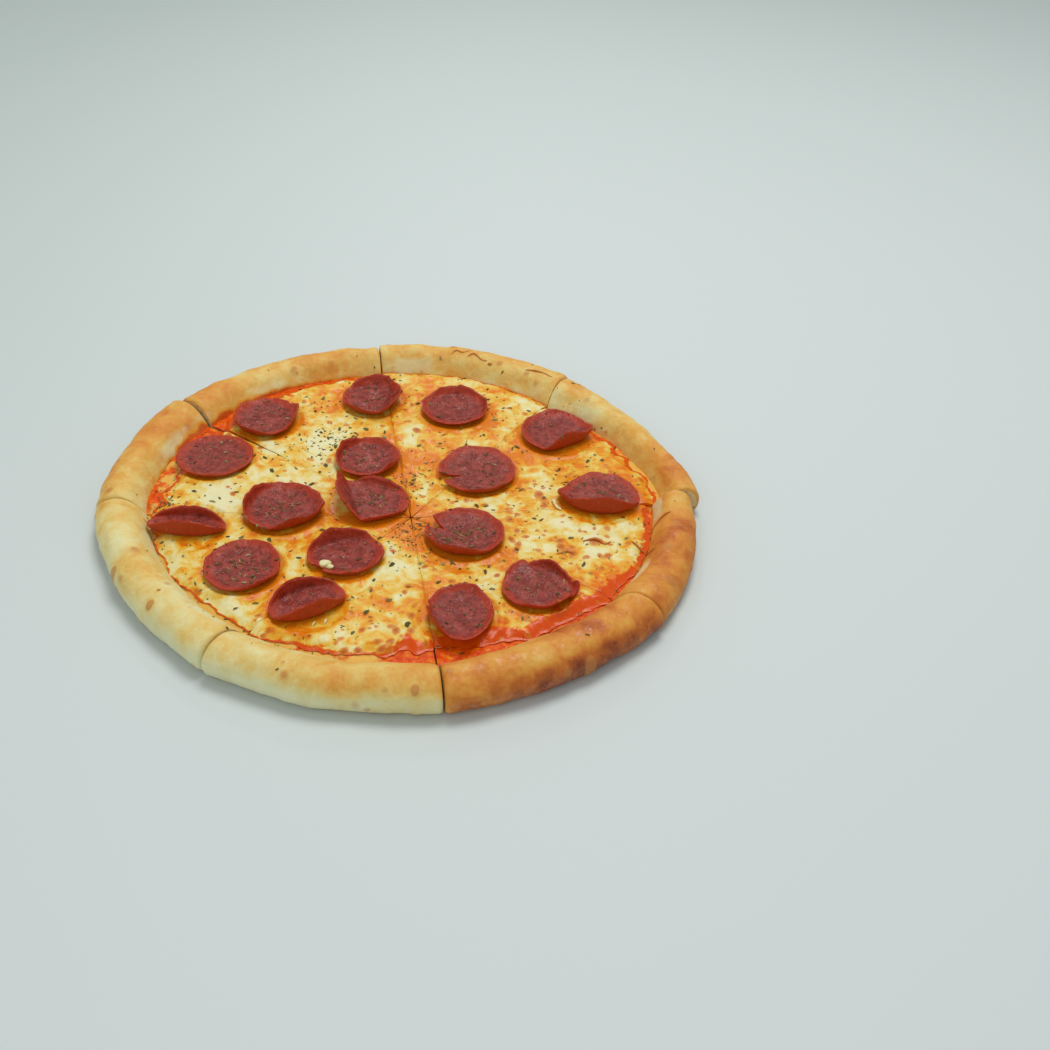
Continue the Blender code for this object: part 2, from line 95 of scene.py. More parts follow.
# %% The layers
CLEARANCE = 0.3
DOUGH_TOP = 5.0
SAUCE_THICKNESS = 1.0
CHEESE_THICKNESS = 2.4
CHEESE_RELIEF = 0.5
CHEESE_TAPER = 7.0
CHEESE_WAVE = 16.0
CHEESE_RIPPLE = 8.0
CHEESE_EDGE_WAVE = 11.0
CHEESE_EDGE_WANDER = 0.8
LEAST_BARE = 0.8
BED_MARGIN = 1.0
BED_SLOPE = 7.0
SAUCE_BOTTOM = DOUGH_TOP + CLEARANCE
SAUCE_TOP = SAUCE_BOTTOM + SAUCE_THICKNESS
CHEESE_BOTTOM = SAUCE_TOP + CLEARANCE
CHEESE_TOP = CHEESE_BOTTOM + CHEESE_THICKNESS
print("cheese lies between", round(CHEESE_BOTTOM, 2), "and", round(CHEESE_TOP, 2), "mm")

# %% The rounds of pepperoni
# Each round has its place, its diameter and how far its edge cups up.
# A lip curls up along a part of the edge: direction and half the spread in degrees, greatest
# width in radii and angle. A fold has a straight crease: direction, distance in radii, angle.
# An oval is narrower in a direction, a ridge rises to a line and steps down past it, and a
# point draws the edge out: direction, half the spread and length in radii.
PEPPERONI = (
    dict(at=(-26.5, 91.0), across=37, cup=3.2, oval=(0, 0.93), folds=((-6, 0.42, 24),),
         lips=((238, 55, 0.20, 50), (100, 60, 0.28, 40)), points=((-64, 26, 0.10),)),
    dict(at=(-82.7, 65.1), across=40, cup=2.8, oval=(0, 0.88),
         lips=((240, 58, 0.24, 48), (-12, 48, 0.20, 45)), points=((28, 24, 0.08),)),
    dict(at=(21.2, 84.5), across=38, cup=3.2, lips=((2, 50, 0.20, 55), (100, 70, 0.25, 35))),
    dict(at=(78.6, 63.5), across=41, cup=2.8, oval=(0, 0.92), lips=((-56, 60, 0.42, 88),),
         points=((8, 26, 0.10),)),
    dict(at=(-102.0, 25.8), across=40, cup=1.8, lips=((-95, 75, 0.12, 50),)),
    dict(at=(-21.6, 29.6), across=35, cup=3.2, lips=((165, 75, 0.28, 62), (-35, 45, 0.16, 50))),
    dict(at=(37.5, 22.8), across=43, cup=2.4, oval=(0, 0.94), lips=((-70, 60, 0.14, 50),)),
    dict(at=(102.6, 4.0), across=42, cup=2.0, oval=(0, 0.95), lips=((-92, 88, 0.48, 96),),
         points=((184, 24, 0.14),)),
    dict(at=(-16.0, -8.2), across=41, cup=1.6, oval=(90, 0.90), folds=((198, 0.30, 50),),
         lips=((72, 50, 0.24, 55), (-60, 40, 0.22, 50)), points=((140, 26, 0.16),)),
    dict(at=(-57.9, -17.8), across=40, cup=3.4, lips=((-55, 55, 0.26, 58), (165, 60, 0.24, 58)),
         points=((-4, 22, 0.08),)),
    dict(at=(-101.9, -35.0), across=39, cup=1.2, oval=(-92, 0.58),
         lips=((-92, 88, 0.50, 96), (88, 84, 0.34, 60))),
    dict(at=(34.5, -32.1), across=39, cup=3.2, lips=((-104, 74, 0.24, 70),)),
    dict(at=(-21.3, -52.6), across=37, cup=2.6, oval=(100, 0.86),
         lips=((122, 80, 0.34, 62), (-60, 50, 0.14, 45))),
    dict(at=(-68.2, -64.2), across=39, cup=2.4, oval=(0, 0.91), lips=((-62, 70, 0.14, 55),)),
    dict(at=(71.6, -70.0), across=34, cup=2.2, ridge=(44, 0.26, 3.2),
         lips=((-84, 60, 0.16, 55), (54, 66, 0.28, 72)), points=((-4, 20, 0.14),)),
    dict(at=(-33.4, -88.7), across=36, cup=1.4, oval=(-57, 0.84),
         lips=((-59, 84, 0.52, 98), (123, 80, 0.42, 70))),
    dict(at=(36.0, -91.4), across=37, cup=3.0, oval=(0, 0.85), lips=((212, 60, 0.32, 72),),
         points=((-72, 24, 0.10),)),
)
PEPPERONI_THICKNESS = 1.3
FOLD_RADIUS = 2.6
LIP_EASE = 1.6
CUP_POWER = 2.0
LIP_POWER = 7.0
LIP_SHARE = 0.65
CUP_UNEVENNESS = 0.6
CUP_WAVES = 1.6
EDGE_WAVE = 0.6
EDGE_WAVES = 2.0
RIDGE_STEP = 3.0
print("rounds of pepperoni:", len(PEPPERONI))

# %% [markdown]
# ## Curves that the whole pizza shares
#
# A value along a slice is a parabola through three measured values, and a section is a smooth curve
# through a few points. Both could be splines of Blender, but plain functions can be asked for any
# point, and the coarse solids were made with the same ones.

# %% Values along a slice and points on a section
def through(values, u):
    """A smooth value from those at the start, middle and end."""
    start, middle, end = values
    return start * (1 - u) * (1 - 2 * u) + middle * 4 * u * (1 - u) + end * u * (2 * u - 1)


def smooth(x):
    """Ease from 0 to 1."""
    x = min(max(x, 0.0), 1.0)
    return x * x * (3 - 2 * x)


def ease(x):
    """The same for an array."""
    x = np.clip(x, 0.0, 1.0)
    return x * x * (3 - 2 * x)


def rising(x, start, width):
    """From 0 to 1 over a width that begins at a start, for an array."""
    return ease((x - start) / width)


def falling(x, end, width):
    """From 1 to 0 over a width that stops at an end, for an array."""
    return ease((end - x) / width)


def bell(x):
    """1 in the middle, fading smoothly to both sides."""
    return np.exp(-x ** 2)


def turned_from(degrees, other):
    """The angle between two directions, between -180 and 180."""
    return (degrees - other + 180) % 360 - 180


def rounding(distance, radius):
    """How far a rounded end drops at a distance from the end."""
    short = max(radius - distance, 0.0)
    return radius - math.sqrt(radius * radius - short * short)


def spline(points, position):
    """A point on the smooth curve through a section's points."""
    last = len(points) - 1
    i = min(int(position), last - 1)
    t = position - i
    a, b, c, d = (points[min(max(i + j, 0), last)] for j in (-1, 0, 1, 2))
    return tuple(
        0.5 * (2 * q + (r - p) * t + (2 * p - 5 * q + 4 * r - s) * t * t
               + (3 * q - p - 3 * r + s) * t ** 3)
        for p, q, r, s in zip(a, b, c, d)
    )


print("half way along a slice:", through((1.0, 2.0, 1.5), 0.5))

# %% The plan of one slice
class Wedge:
    """The plan of one slice: its tip, its two sides and its rim."""

    def __init__(self, index):
        following = (index + 1) % len(CUT_ANGLES)
        first = math.radians(CUT_ANGLES[index])
        second = math.radians(CUT_ANGLES[following])
        if second < first:
            second += math.tau
        middle = (first + second) / 2
        inset = CUT_GAP / 2 / math.sin((second - first) / 2)
        self.shape = SLICES[index]
        self.index = index
        self.tip = Vector(CUT_CENTRE) + inset * Vector((math.cos(middle), math.sin(middle)))
        self.start = first + self.opening(CUT_GAPS_AT_RIM[index])
        self.end = second - self.opening(CUT_GAPS_AT_RIM[following])

    def opening(self, gap):
        """The angle by which a side turns away from its cut to open it at the rim."""
        return (gap - CUT_GAP) / 2 / self.shape["radius"][1]

    def direction(self, u):
        angle = self.start + (self.end - self.start) * u
        return Vector((math.cos(angle), math.sin(angle)))

    def outline(self, u):
        """Distance from the tip to the outer edge before the rim's ends are rounded."""
        ray = self.direction(u)
        reach = self.shape["radius"][1]
        for _ in range(8):
            point = self.tip + ray * reach
            reach += through(self.shape["radius"], u) - point.length
        point = self.tip + ray * reach
        return reach + RIM_PUFF * noise.noise(Vector((point.x / RIM_WAVE, point.y / RIM_WAVE, 3.0)))

    def foot(self, u):
        """Distance from the tip to the inner foot of the rim."""
        return self.outline(u) - through(self.shape["width"], u)

    def sweep(self):
        """The length of the rim's edge."""
        return (self.end - self.start) * self.shape["radius"][1]

    def end_drop(self, u):
        """How far the rim rounds off next to the cuts."""
        sweep = (self.end - self.start) * self.outline(u)
        return rounding(sweep * min(u, 1 - u), RIM_END_ROUNDING)

    def cheese_edge(self, u):
        """Distance from the tip to the edge of the cheese, which wanders."""
        bare = through(self.shape["bare"], u)
        point = self.tip + self.direction(u) * self.foot(u)
        wander = noise.noise(Vector((*(point / CHEESE_EDGE_WAVE), 7.0)))
        return self.foot(u) - max(bare * (1 + CHEESE_EDGE_WANDER * wander), LEAST_BARE)

    def coarse_places(self):
        """The places across the slice where the solids have their corners."""
        ends = [distance / self.sweep() for distance in RIM_END_PLACES]
        inner = [ends[-1] + (1 - 2 * ends[-1]) * i / 7 for i in range(1, 7)]
        return ends + inner + [1 - u for u in reversed(ends)]

    def fine_places(self, spacing):
        """Places across the slice, close together at its rounded ends."""
        ends = [distance / self.sweep() for distance in (0.0, 0.15, 0.4, 0.8, 1.3, 1.9, 2.6)]
        count = int(self.sweep() / spacing)
        inner = [ends[-1] + (1 - 2 * ends[-1]) * i / count for i in range(1, count)]
        return ends + inner + [1 - u for u in reversed(ends)]


wedges = [Wedge(index) for index in range(len(SLICES))]
print("rim length of the first slice:", round(wedges[0].sweep(), 1), "mm")

# %% Where the middle of the solids' box lies
def solid_box_middle():
    """The middle of the outline that the solids were centred on."""
    spots = []
    for wedge in wedges:
        for u in wedge.coarse_places():
            spots.append(wedge.tip + wedge.direction(u) * (wedge.outline(u) - wedge.end_drop(u)))
    spots = np.array([tuple(spot) for spot in spots])
    return (spots.min(0) + spots.max(0)) / 2


MIDDLE = solid_box_middle()
print("the pizza's circle is off the box's middle by", np.round(-MIDDLE, 2), "mm")

# %% [markdown]
# ## From numbers to meshes
#
# A layer is a grid of points: one column for each place across the slice, one row for each point
# round the section. The grid closes round the section, and the two cut faces close its ends.
# `lofted` makes that mesh and gives it named values at its points, which the materials read.

# %% Making a mesh with named values
def placed(name, data):
    """A new object in the scene."""
    thing = bpy.data.objects.new(name, data)
    bpy.context.scene.collection.objects.link(thing)
    return thing


SHARP_ANGLE = 55.0


def new_piece(name, corners, faces, values, materials, sharp=SHARP_ANGLE):
    """A smooth object from corners in millimetres, with values at its points."""
    used = np.unique(np.concatenate([np.asarray(face) for face in faces]))
    place = np.full(len(corners), -1)
    place[used] = np.arange(len(used))
    metres = corners[used] * MM
    metres[:, 0] -= MIDDLE[0] * MM
    metres[:, 1] -= MIDDLE[1] * MM
    mesh = bpy.data.meshes.new(name)
    mesh.from_pydata(metres.tolist(), [], [[int(place[i]) for i in face] for face in faces])
    for key, numbers in values.items():
        layer = mesh.attributes.new(key, "FLOAT", "POINT")
        layer.data.foreach_set("value", np.asarray(numbers, dtype=np.float32)[used])
    for material in materials:
        mesh.materials.append(material)
    mesh.update()
    mesh.shade_smooth()
    mesh.set_sharp_from_angle(angle=math.radians(sharp))
    return placed(name, mesh)


print("sharp edges start at", SHARP_ANGLE, "degrees")

# %% Sweeping a section from cut to cut
def lofted(name, grid, values, materials, cap_material=0):
    """Close a grid of section points into a solid layer of one slice."""
    columns, rows = grid.shape[:2]
    index = np.arange(columns * rows).reshape(columns, rows)
    index[:, 0] = index[0, 0]
    index[:, -1] = index[0, -1]
    faces = []
    for c in range(columns - 1):
        for r in range(rows):
            s = (r + 1) % rows
            face = (index[c, s], index[c + 1, s], index[c + 1, r], index[c, r])
            face = tuple(dict.fromkeys(int(i) for i in face))
            if len(face) > 2:
                faces.append(face)
    sides = len(faces)
    faces.append(tuple(dict.fromkeys(int(i) for i in index[0])))
    faces.append(tuple(dict.fromkeys(int(i) for i in index[-1][::-1])))
    flat = {key: numbers.reshape(-1) for key, numbers in values.items()}
    piece = new_piece(name, grid.reshape(-1, 3), faces, flat, materials)
    for polygon in piece.data.polygons[sides:]:
        polygon.material_index = cap_material
        polygon.use_smooth = False
    return piece


print("a layer's cut faces are flat and may have a material of their own")

# %% Noise over many points
def field(points, size, seed):
    """Smooth noise between about -1 and 1 at every point of a grid."""
    flat = points.reshape(-1, 3) / size
    numbers = [noise.noise(Vector((x, y, z + seed))) for x, y, z in flat.tolist()]
    return np.array(numbers).reshape(points.shape[:-1])


def relief(points, layers):
    """Layers of noise, each with its height, size and seed, added up."""
    return sum(height * field(points, size, seed) for height, size, seed in layers)


def outward(grid):
    """Unit normals of a grid of points, by differences along it."""
    across = np.gradient(grid, axis=0)
    down = np.gradient(grid, axis=1)
    normal = np.cross(down, across)
    length = np.linalg.norm(normal, axis=-1, keepdims=True)
    return normal / np.maximum(length, 1e-9)


print("noise at the middle:", round(float(field(np.zeros((1, 1, 3)) + 0.4, 1.0, 0.0)[0, 0]), 3))

# %% [markdown]
# ## Shader sums as Python sums
#
# A material is easier to read as arithmetic than as a net of boxes. `Mixture` stands for one
# socket: adding, multiplying or comparing it adds the Math node that does the same. `Surface`
# owns the node tree of one material. Its `node` method makes any other node from its type, its
# settings and what goes into its sockets.

# %% One socket that can be reckoned with
class Mixture:
    """The output of a node, with the sums that these materials need."""

    def __init__(self, surface, socket):
        self.surface = surface
        self.socket = socket

    def sum_node(self, operation, first, second):
        return self.surface.node("ShaderNodeMath", {"operation": operation}, {0: first, 1: second})

    def __add__(self, other):
        return self.sum_node("ADD", self, other)

    def __sub__(self, other):
        return self.sum_node("SUBTRACT", self, other)

    def __rsub__(self, other):
        return self.sum_node("SUBTRACT", other, self)

    def __mul__(self, other):
        return self.sum_node("MULTIPLY", self, other)

    def smaller(self, other):
        return self.sum_node("MINIMUM", self, other)

    def between(self, low, high):
        """0 below low, 1 above high, smooth in between."""
        return self.surface.node(
            "ShaderNodeMapRange", {"interpolation_type": "SMOOTHSTEP"},
            {"Value": self, "From Min": low, "From Max": high, "To Min": 0.0, "To Max": 1.0})

    __radd__ = __add__
    __rmul__ = __mul__


print("sums on sockets:", [name for name in vars(Mixture) if name.startswith("__r")])

# %% One material
class Surface:
    """A material with its Principled shader and short ways to feed it."""

    def __init__(self, name, **plain):
        self.material = bpy.data.materials.new(name)
        self.material.use_nodes = True
        self.tree = self.material.node_tree
        self.shader = self.tree.nodes["Principled BSDF"]
        for label, number in plain.items():
            self.shader.inputs[label.replace("_", " ")].default_value = number
        self.place = self.node("ShaderNodeTexCoord", {}, {}, "Object")

    def node(self, kind, settings, inputs, output=0):
        """Any node: its type, its settings, and the values or links of its sockets."""
        node = self.tree.nodes.new(kind)
        for key, setting in settings.items():
            if key == "stops":
                self.set_stops(node.color_ramp, setting)
            else:
                setattr(node, key, setting)
        for key, value in inputs.items():
            if isinstance(value, Mixture):
                self.tree.links.new(value.socket, node.inputs[key])
            else:
                node.inputs[key].default_value = value
        return Mixture(self, node.outputs[output])

    def set_stops(self, ramp, stops):
        while len(ramp.elements) < len(stops):
            ramp.elements.new(0.5)
        for element, (position, colour) in zip(ramp.elements, stops):
            element.position = position
            element.color = (*colour, 1.0)

    def grain(self, size, detail=3.0, roughness=0.55, shift=0.0, output=0, swirl=0.0):
        """Fractal noise with features of a size in millimetres, as values round 0.5."""
        moved = self.node("ShaderNodeVectorMath", {"operation": "ADD"},
                          {0: self.place, 1: (shift, shift * 0.7, 0.0)})
        return self.node("ShaderNodeTexNoise", {},
                         {"Vector": moved, "Scale": 1 / (size * MM), "Detail": detail,
                          "Roughness": roughness, "Distortion": swirl}, output)

    def cells(self, size, output="Distance", jitter=1.0):
        """Distance to scattered points that lie about a size in millimetres apart."""
        return self.node("ShaderNodeTexVoronoi", {},
                         {"Vector": self.place, "Scale": 1 / (size * MM), "Randomness": jitter},
                         output)

    def value(self, name):
        """A named value stored at the mesh's points."""
        return self.node("ShaderNodeAttribute", {"attribute_name": name}, {}, "Fac")

    def ramp(self, amount, stops):
        """A colour from a value, through colour stops."""
        return self.node("ShaderNodeValToRGB", {"stops": stops}, {"Fac": amount})

    def mix(self, amount, first, second):
        """One colour over another."""
        first = (*first, 1.0) if isinstance(first, tuple) else first
        second = (*second, 1.0) if isinstance(second, tuple) else second
        return self.node("ShaderNodeMix", {"data_type": "RGBA"},
                         {0: amount, 6: first, 7: second}, 2)

    def feed(self, label, mixture):
        self.tree.links.new(mixture.socket, self.shader.inputs[label])

    def bump(self, height, depth, strength=1.0):
        """Fine relief, with its depth in millimetres."""
        return self.node("ShaderNodeBump", {},
                         {"Height": height, "Distance": depth * MM, "Strength": strength}, 0)


print("surfaces feed the shader by name")

# %% [markdown]
# ## Dough
#
# The skin of a baked rim runs from floury cream over gold to dark brown, where it touched the
# hottest air. The browning is worked out per point from each slice's own bake, and the material
# only turns it into colour and adds the fine mottling. Sauce stains the inner wall of the rim, and
# the last skin above the table stays pale and dusty. The crumb in the cuts is a second material.

# %% The dough's skin
CRUST_COLOURS = (
    (0.00, (0.75, 0.74, 0.43)),
    (0.18, (0.73, 0.64, 0.29)),
    (0.34, (0.72, 0.49, 0.130)),
    (0.46, (0.69, 0.35, 0.055)),
    (0.58, (0.65, 0.245, 0.026)),
    (0.72, (0.50, 0.125, 0.010)),
    (0.86, (0.27, 0.050, 0.005)),
    (1.00, (0.12, 0.020, 0.004)),
)
SCORCHED = (0.50, 0.19, 0.035)
FLOURED = (0.74, 0.68, 0.50)
UNBAKED = (0.74, 0.66, 0.38)
OIL_STAINED = (0.72, 0.33, 0.012)
SAUCE_STAINED = (0.58, 0.085, 0.004)


def make_dough():
    skin = Surface("dough", Roughness=0.55, Subsurface_Weight=0.08, Subsurface_Scale=0.004,
                   Specular_IOR_Level=0.4)
    mottle = skin.grain(11.0, 4.0, 0.62, swirl=0.6) - 0.5
    speckle = skin.grain(2.2, 4.0, 0.65, 0.3) - 0.5
    bake = skin.value("bake") + mottle * 0.48 + speckle * 0.20
    colour = skin.ramp(bake, CRUST_COLOURS)
    spot = skin.value("blister").between(0.25, 0.9)
    spot = (spot * (0.65 + skin.grain(1.2, 2.0))).smaller(1.0)
    colour = skin.mix(spot * 0.7, colour, SCORCHED)
    flour = skin.value("flour") * skin.grain(2.6, 4.0, 0.7, 0.8).between(0.38, 0.68)
    colour = skin.mix(flour * 0.6, colour, FLOURED)
    bare = (skin.value("pale") * (0.4 + skin.grain(5.0, 3.0, swirl=0.8) * 1.2)).between(0.2, 0.8)
    colour = skin.mix(bare * 0.6, colour, UNBAKED)
    stain = skin.value("stain") * (0.45 + skin.grain(3.5, 4.0, 0.65, 1.7, swirl=0.8) * 1.1)
    colour = skin.mix(stain.between(0.12, 0.45) * 0.9, colour, OIL_STAINED)
    colour = skin.mix(stain.between(0.45, 0.85) * 0.9, colour, SAUCE_STAINED)
    skin.feed("Base Color", colour)
    shine = skin.value("gloss") * skin.grain(4.5, 4.0, 0.6, 6.0).between(0.46, 0.62)
    skin.feed("Roughness", 0.64 - shine * 0.40 - stain * 0.12 + speckle * 0.2)
    wrinkle = skin.grain(2.2, 5.0, 0.62, 2.2)
    pores = skin.grain(0.6, 3.0, 0.6, 3.1)
    skin.feed("Normal", skin.bump(wrinkle * 0.75 + pores * 0.25, 0.5, 0.9))
    return skin.material


dough_finish = make_dough()
print("dough finish:", dough_finish.name, "with", len(CRUST_COLOURS), "colours")

# %% The crumb in a cut
CRUMB_LIGHT = (0.74, 0.60, 0.33)
CRUMB_DARK = (0.66, 0.46, 0.20)
CRUMB_HOLE_SHADE = (0.42, 0.25, 0.09)


def make_crumb():
    crumb = Surface("crumb", Roughness=0.8, Subsurface_Weight=0.12, Subsurface_Scale=0.003)
    holes = crumb.cells(2.4).between(0.12, 0.42)
    tone = crumb.grain(5.0, 3.0)
    colour = crumb.mix(tone, CRUMB_LIGHT, CRUMB_DARK)
    # Painted shade: the crumb's colour is darkened in its pores, where the bump sinks in.
    colour = crumb.mix((1 - holes) * 0.6, colour, CRUMB_HOLE_SHADE)
    crumb.feed("Base Color", colour)
    crumb.feed("Normal", crumb.bump(holes + crumb.grain(0.8) * 0.4, 0.7, 0.9))
    return crumb.material


crumb_finish = make_crumb()
print("crumb finish:", crumb_finish.name)

# %% [markdown]
# ### The shape of a slice of dough
#
# The rim is a swept section that is puffed between the cuts and rounded at its ends. Lumps,
# wrinkles and blisters are pushed out along the normals, and fade out at the cuts and at the foot,
# where the solid's form has to stay.

# %% How brown each slice is, on its crest and on its outer wall
BROWNING = (
    dict(crest=(0.52, 0.44, 0.40), wall=(0.56, 0.50, 0.46), gloss=0.9),
    dict(crest=(0.42, 0.37, 0.38), wall=(0.46, 0.42, 0.42), gloss=0.6),
    dict(crest=(0.45, 0.46, 0.49), wall=(0.44, 0.46, 0.48), gloss=0.5),
    dict(crest=(0.46, 0.44, 0.38), wall=(0.48, 0.40, 0.28), gloss=0.4),
    dict(crest=(0.36, 0.28, 0.30), wall=(0.20, 0.06, 0.04), gloss=0.2),
    dict(crest=(0.28, 0.36, 0.46), wall=(0.04, 0.08, 0.24), gloss=0.3),
    dict(crest=(0.54, 0.56, 0.56), wall=(0.58, 0.66, 0.68), gloss=1.0),
    dict(crest=(0.60, 0.57, 0.56), wall=(0.56, 0.56, 0.56), gloss=0.9),
)
RIM_ROWS = 66
FLOOR_ROWS = 3
UNDER_ROWS = 10
print("browning is given for", len(BROWNING), "slices")

# %% Where the rim is stained, pale, scorched and dark
# The sauce climbs the inner wall by so much at a slice's start, middle and end. Pale stretches of
# that wall have a direction, a spread in degrees and a strength. Scorches have a place and a size,
# and dark patches of the outer wall have a strength as well.
CLIMBING = (
    (0.45, 0.25, 0.30), (0.30, 0.45, 0.25), (0.25, 0.75, 1.00), (0.95, 0.60, 0.25),
    (0.12, 0.12, 0.12), (0.15, 0.30, 0.85), (1.00, 0.60, 0.45), (0.45, 0.55, 0.60),
)
PALE_WALLS = (
    (164, 9, 0.7), (152, 5, 0.5), (132, 8, 0.5), (94, 6, 0.9), (58, 4, 0.5), (40, 5, 0.5),
    (-1, 5, 1.0), (-25, 5, 1.0), (200, 8, 0.4), (247, 9, 0.4),
)
SCORCHES = (
    (-124.6, -90.5, 3.0), (-117.7, -96.9, 4.2), (-125.7, -74.8, 2.6), (-101.4, -99.2, 2.4),
    (-3.3, -152.0, 4.0), (21.4, -144.7, 2.0), (-8.6, 124.8, 2.2), (133, -66, 3.2), (96, -120, 3.6),
)
DARK_PATCHES = (
    (64, -132, 8, 0.14), (75, -124, 9, 0.26), (90, -117, 9, 0.26), (102, -109, 9, 0.20),
    (111, -99, 7, 0.18), (120, -88, 7, 0.18), (44, -140, 6, 0.10), (133, -54, 7, 0.20),
    (141, 10, 9, 0.14), (-112, 92, 8, 0.10),
)


def area_sum(grid, areas):
    """Soft round areas, each with its place, size and strength, added up at every point."""
    total = np.zeros(grid.shape[:-1])
    for x, y, size, much in areas:
        total += much * bell(np.hypot(grid[..., 0] - x, grid[..., 1] - y) / size)
    return total


print("pale stretches:", len(PALE_WALLS), "scorches:", len(SCORCHES), "patches:", len(DARK_PATCHES))

# %% The section of the dough, point by point
def dough_ring(wedge, u):
    """Reach, height and place along the section, from the tip's top round to its bottom."""
    drop = wedge.end_drop(u)
    foot = wedge.foot(u)
    outer = wedge.outline(u) - drop
    width = outer - foot
    puff = RIM_PUFF * noise.noise(Vector((wedge.index, u * RIM_PUFFS_PER_SLICE, 9.0)))
    crest = through(wedge.shape["crest"], u) + puff - CREST_DROP * drop
    ring = [(foot * i / FLOOR_ROWS, DOUGH_TOP, -1.0) for i in range(FLOOR_ROWS)]
    last = len(RIM_SECTION) - 1
    for i in range(RIM_ROWS + 1):
        inset, height = spline(RIM_SECTION, i * last / RIM_ROWS)
        lift = max(height * crest, 0.0) if i else DOUGH_TOP
        ring.append((outer - inset * width, lift, i / RIM_ROWS))
    contact = ring[-1][0]
    for i in range(1, UNDER_ROWS + 1):
        ring.append((contact * (1 - i / UNDER_ROWS), 0.0, 1.0 + i / UNDER_ROWS))
    return ring


print("points round a section:", len(dough_ring(wedges[0], 0.5)))

# %% The points of a whole layer
def side_distance(wedge, reach, u):
    """How far points lie from the nearest cut, for arrays of reach and place."""
    return reach * (wedge.end - wedge.start) * np.minimum(u, 1 - u)


CRUST_SPACING = 0.9


def layer_grid(wedge, places, ring):
    """Points, and what each section point carries, for every place across a slice."""
    points, extras, across = [], [], []
    for u in places:
        ray = wedge.direction(u)
        column = ring(wedge, u)
        points.append([(wedge.tip.x + ray.x * p[0], wedge.tip.y + ray.y * p[0], p[1]) for p in column])
        extras.append([(p[0], p[2]) for p in column])
        across.append([u] * len(column))
    extras = np.array(extras)
    return np.array(points), extras[..., 0], extras[..., 1], np.array(across)


print("a layer is a grid of", len(wedges[0].fine_places(CRUST_SPACING)), "sections")

# %% Blisters and scorches
BLISTERS_PER_SLICE = 11
BLISTER_ROWS = (0.12, 0.85)
BLISTER_SIZES = (1.2, 3.4)
BLISTER_STRENGTHS = (0.4, 1.0)
SCORCH_STRENGTH = 1.1


def blisters_on(grid, chance):
    """Strengths of the blisters that chance puts on the rim, and of the known scorches."""
    blister = np.zeros(grid.shape[:-1])
    first, last = (int(RIM_ROWS * share) for share in BLISTER_ROWS)
    for _ in range(BLISTERS_PER_SLICE):
        column = chance.randrange(len(grid))
        row = FLOOR_ROWS + chance.randrange(first, last)
        size = chance.uniform(*BLISTER_SIZES)
        away = np.linalg.norm(grid - grid[column, row], axis=-1) / size
        blister = np.maximum(blister, bell(away) * chance.uniform(*BLISTER_STRENGTHS))
    for x, y, size in SCORCHES:
        away = np.hypot(grid[..., 0] - x, grid[..., 1] - y) / size
        blister = np.maximum(blister, SCORCH_STRENGTH * np.exp(-away ** 4))
    return blister


print("blisters on the whole rim:", BLISTERS_PER_SLICE * len(wedges))

# %% Browning, by place along the section
# The place along the section runs from 0 at the inner foot over the crest, near 0.4, to 1 on the
# table. Each stretch has its start or end and its width.
OUTER_WALL = (0.52, 0.22)
INSIDE = (0.30, 0.30)
TABLE_CONTACT_SHADE = (0.90, 0.08)
PATCHES_FROM, PATCHES_TO = (0.50, 0.12), (0.97, 0.12)
UNDERSIDE = 1.02
BAKE_LAYERS = ((0.16, 26.0, 4.0), (0.10, 9.0, 5.0))
UNDERSIDE_BAKE, UNDERSIDE_LAYERS = 0.42, ((0.30, 12.0, 6.0),)


def browning(wedge, grid, along, across):
    """How far every point is baked, from cream at 0 to black at 1, plus painted shade next to the
    table.
    """
    brown = BROWNING[wedge.index]
    crest = through(brown["crest"], across)
    wall = through(brown["wall"], across)
    bake = crest + (wall - crest) * rising(along, *OUTER_WALL)
    # Painted shade: the lowest strip of the outer wall, where it meets the table, is made darker by
    # 0.10.
    bake = bake - 0.10 * falling(along, *INSIDE) + 0.10 * rising(along, *TABLE_CONTACT_SHADE)
    bake = bake + relief(grid, BAKE_LAYERS)
    patches = area_sum(grid, DARK_PATCHES)
    bake = bake + patches * rising(along, *PATCHES_FROM) * falling(along, *PATCHES_TO)
    under = UNDERSIDE_BAKE + relief(grid, UNDERSIDE_LAYERS)
    return np.where(along > UNDERSIDE, under, bake), wall


print("the outer wall starts at", OUTER_WALL[0], "of the way")

# %% Sauce, flour and gloss on the rim
SAUCE_WALL_WIDTH = 0.12
CUT_STAIN_REACH = 0.8
PALE_FROM, PALE_TO = (0.02, 0.06), (0.27, 0.10)
FLOUR_FROM = (0.62, 0.25)
CROWN, CROWN_WIDTH = 0.44, 0.09
GLOSS_TO = (0.70, 0.25)


def stains(wedge, grid, side, along, across):
    """How much sauce has soaked into the inner wall and the top of the cuts."""
    wet = 0.5 + 0.5 * field(grid, 7.0, 8.0)
    climb = 0.03 + 0.20 * through(CLIMBING[wedge.index], across) * (0.35 + 0.65 * wet)
    stain = np.where(along < 0, 1.0, falling(along, climb, SAUCE_WALL_WIDTH))
    in_cut = falling(side, CUT_STAIN_REACH, CUT_STAIN_REACH) * falling(along, 0.3, 0.2)
    return np.maximum(stain, 0.5 * in_cut)


def pale_stretches(grid, along):
    """Where the inner wall stayed unbaked behind the cheese."""
    pale = np.zeros(along.shape)
    turn = np.degrees(np.arctan2(grid[..., 1], grid[..., 0]))
    for degrees, spread, strength in PALE_WALLS:
        pale = np.maximum(pale, strength * bell(turned_from(turn, degrees) / spread))
    return pale * rising(along, *PALE_FROM) * falling(along, *PALE_TO)


def glossy(wedge, grid, along):
    """The oily shine, strongest on the crown."""
    crown = 0.45 * falling(along, *GLOSS_TO) + bell((along - CROWN) / CROWN_WIDTH)
    return BROWNING[wedge.index]["gloss"] * crown * (0.8 + 0.5 * field(grid, 10.0, 9.0))


print("the crown shines at", CROWN, "of the way")

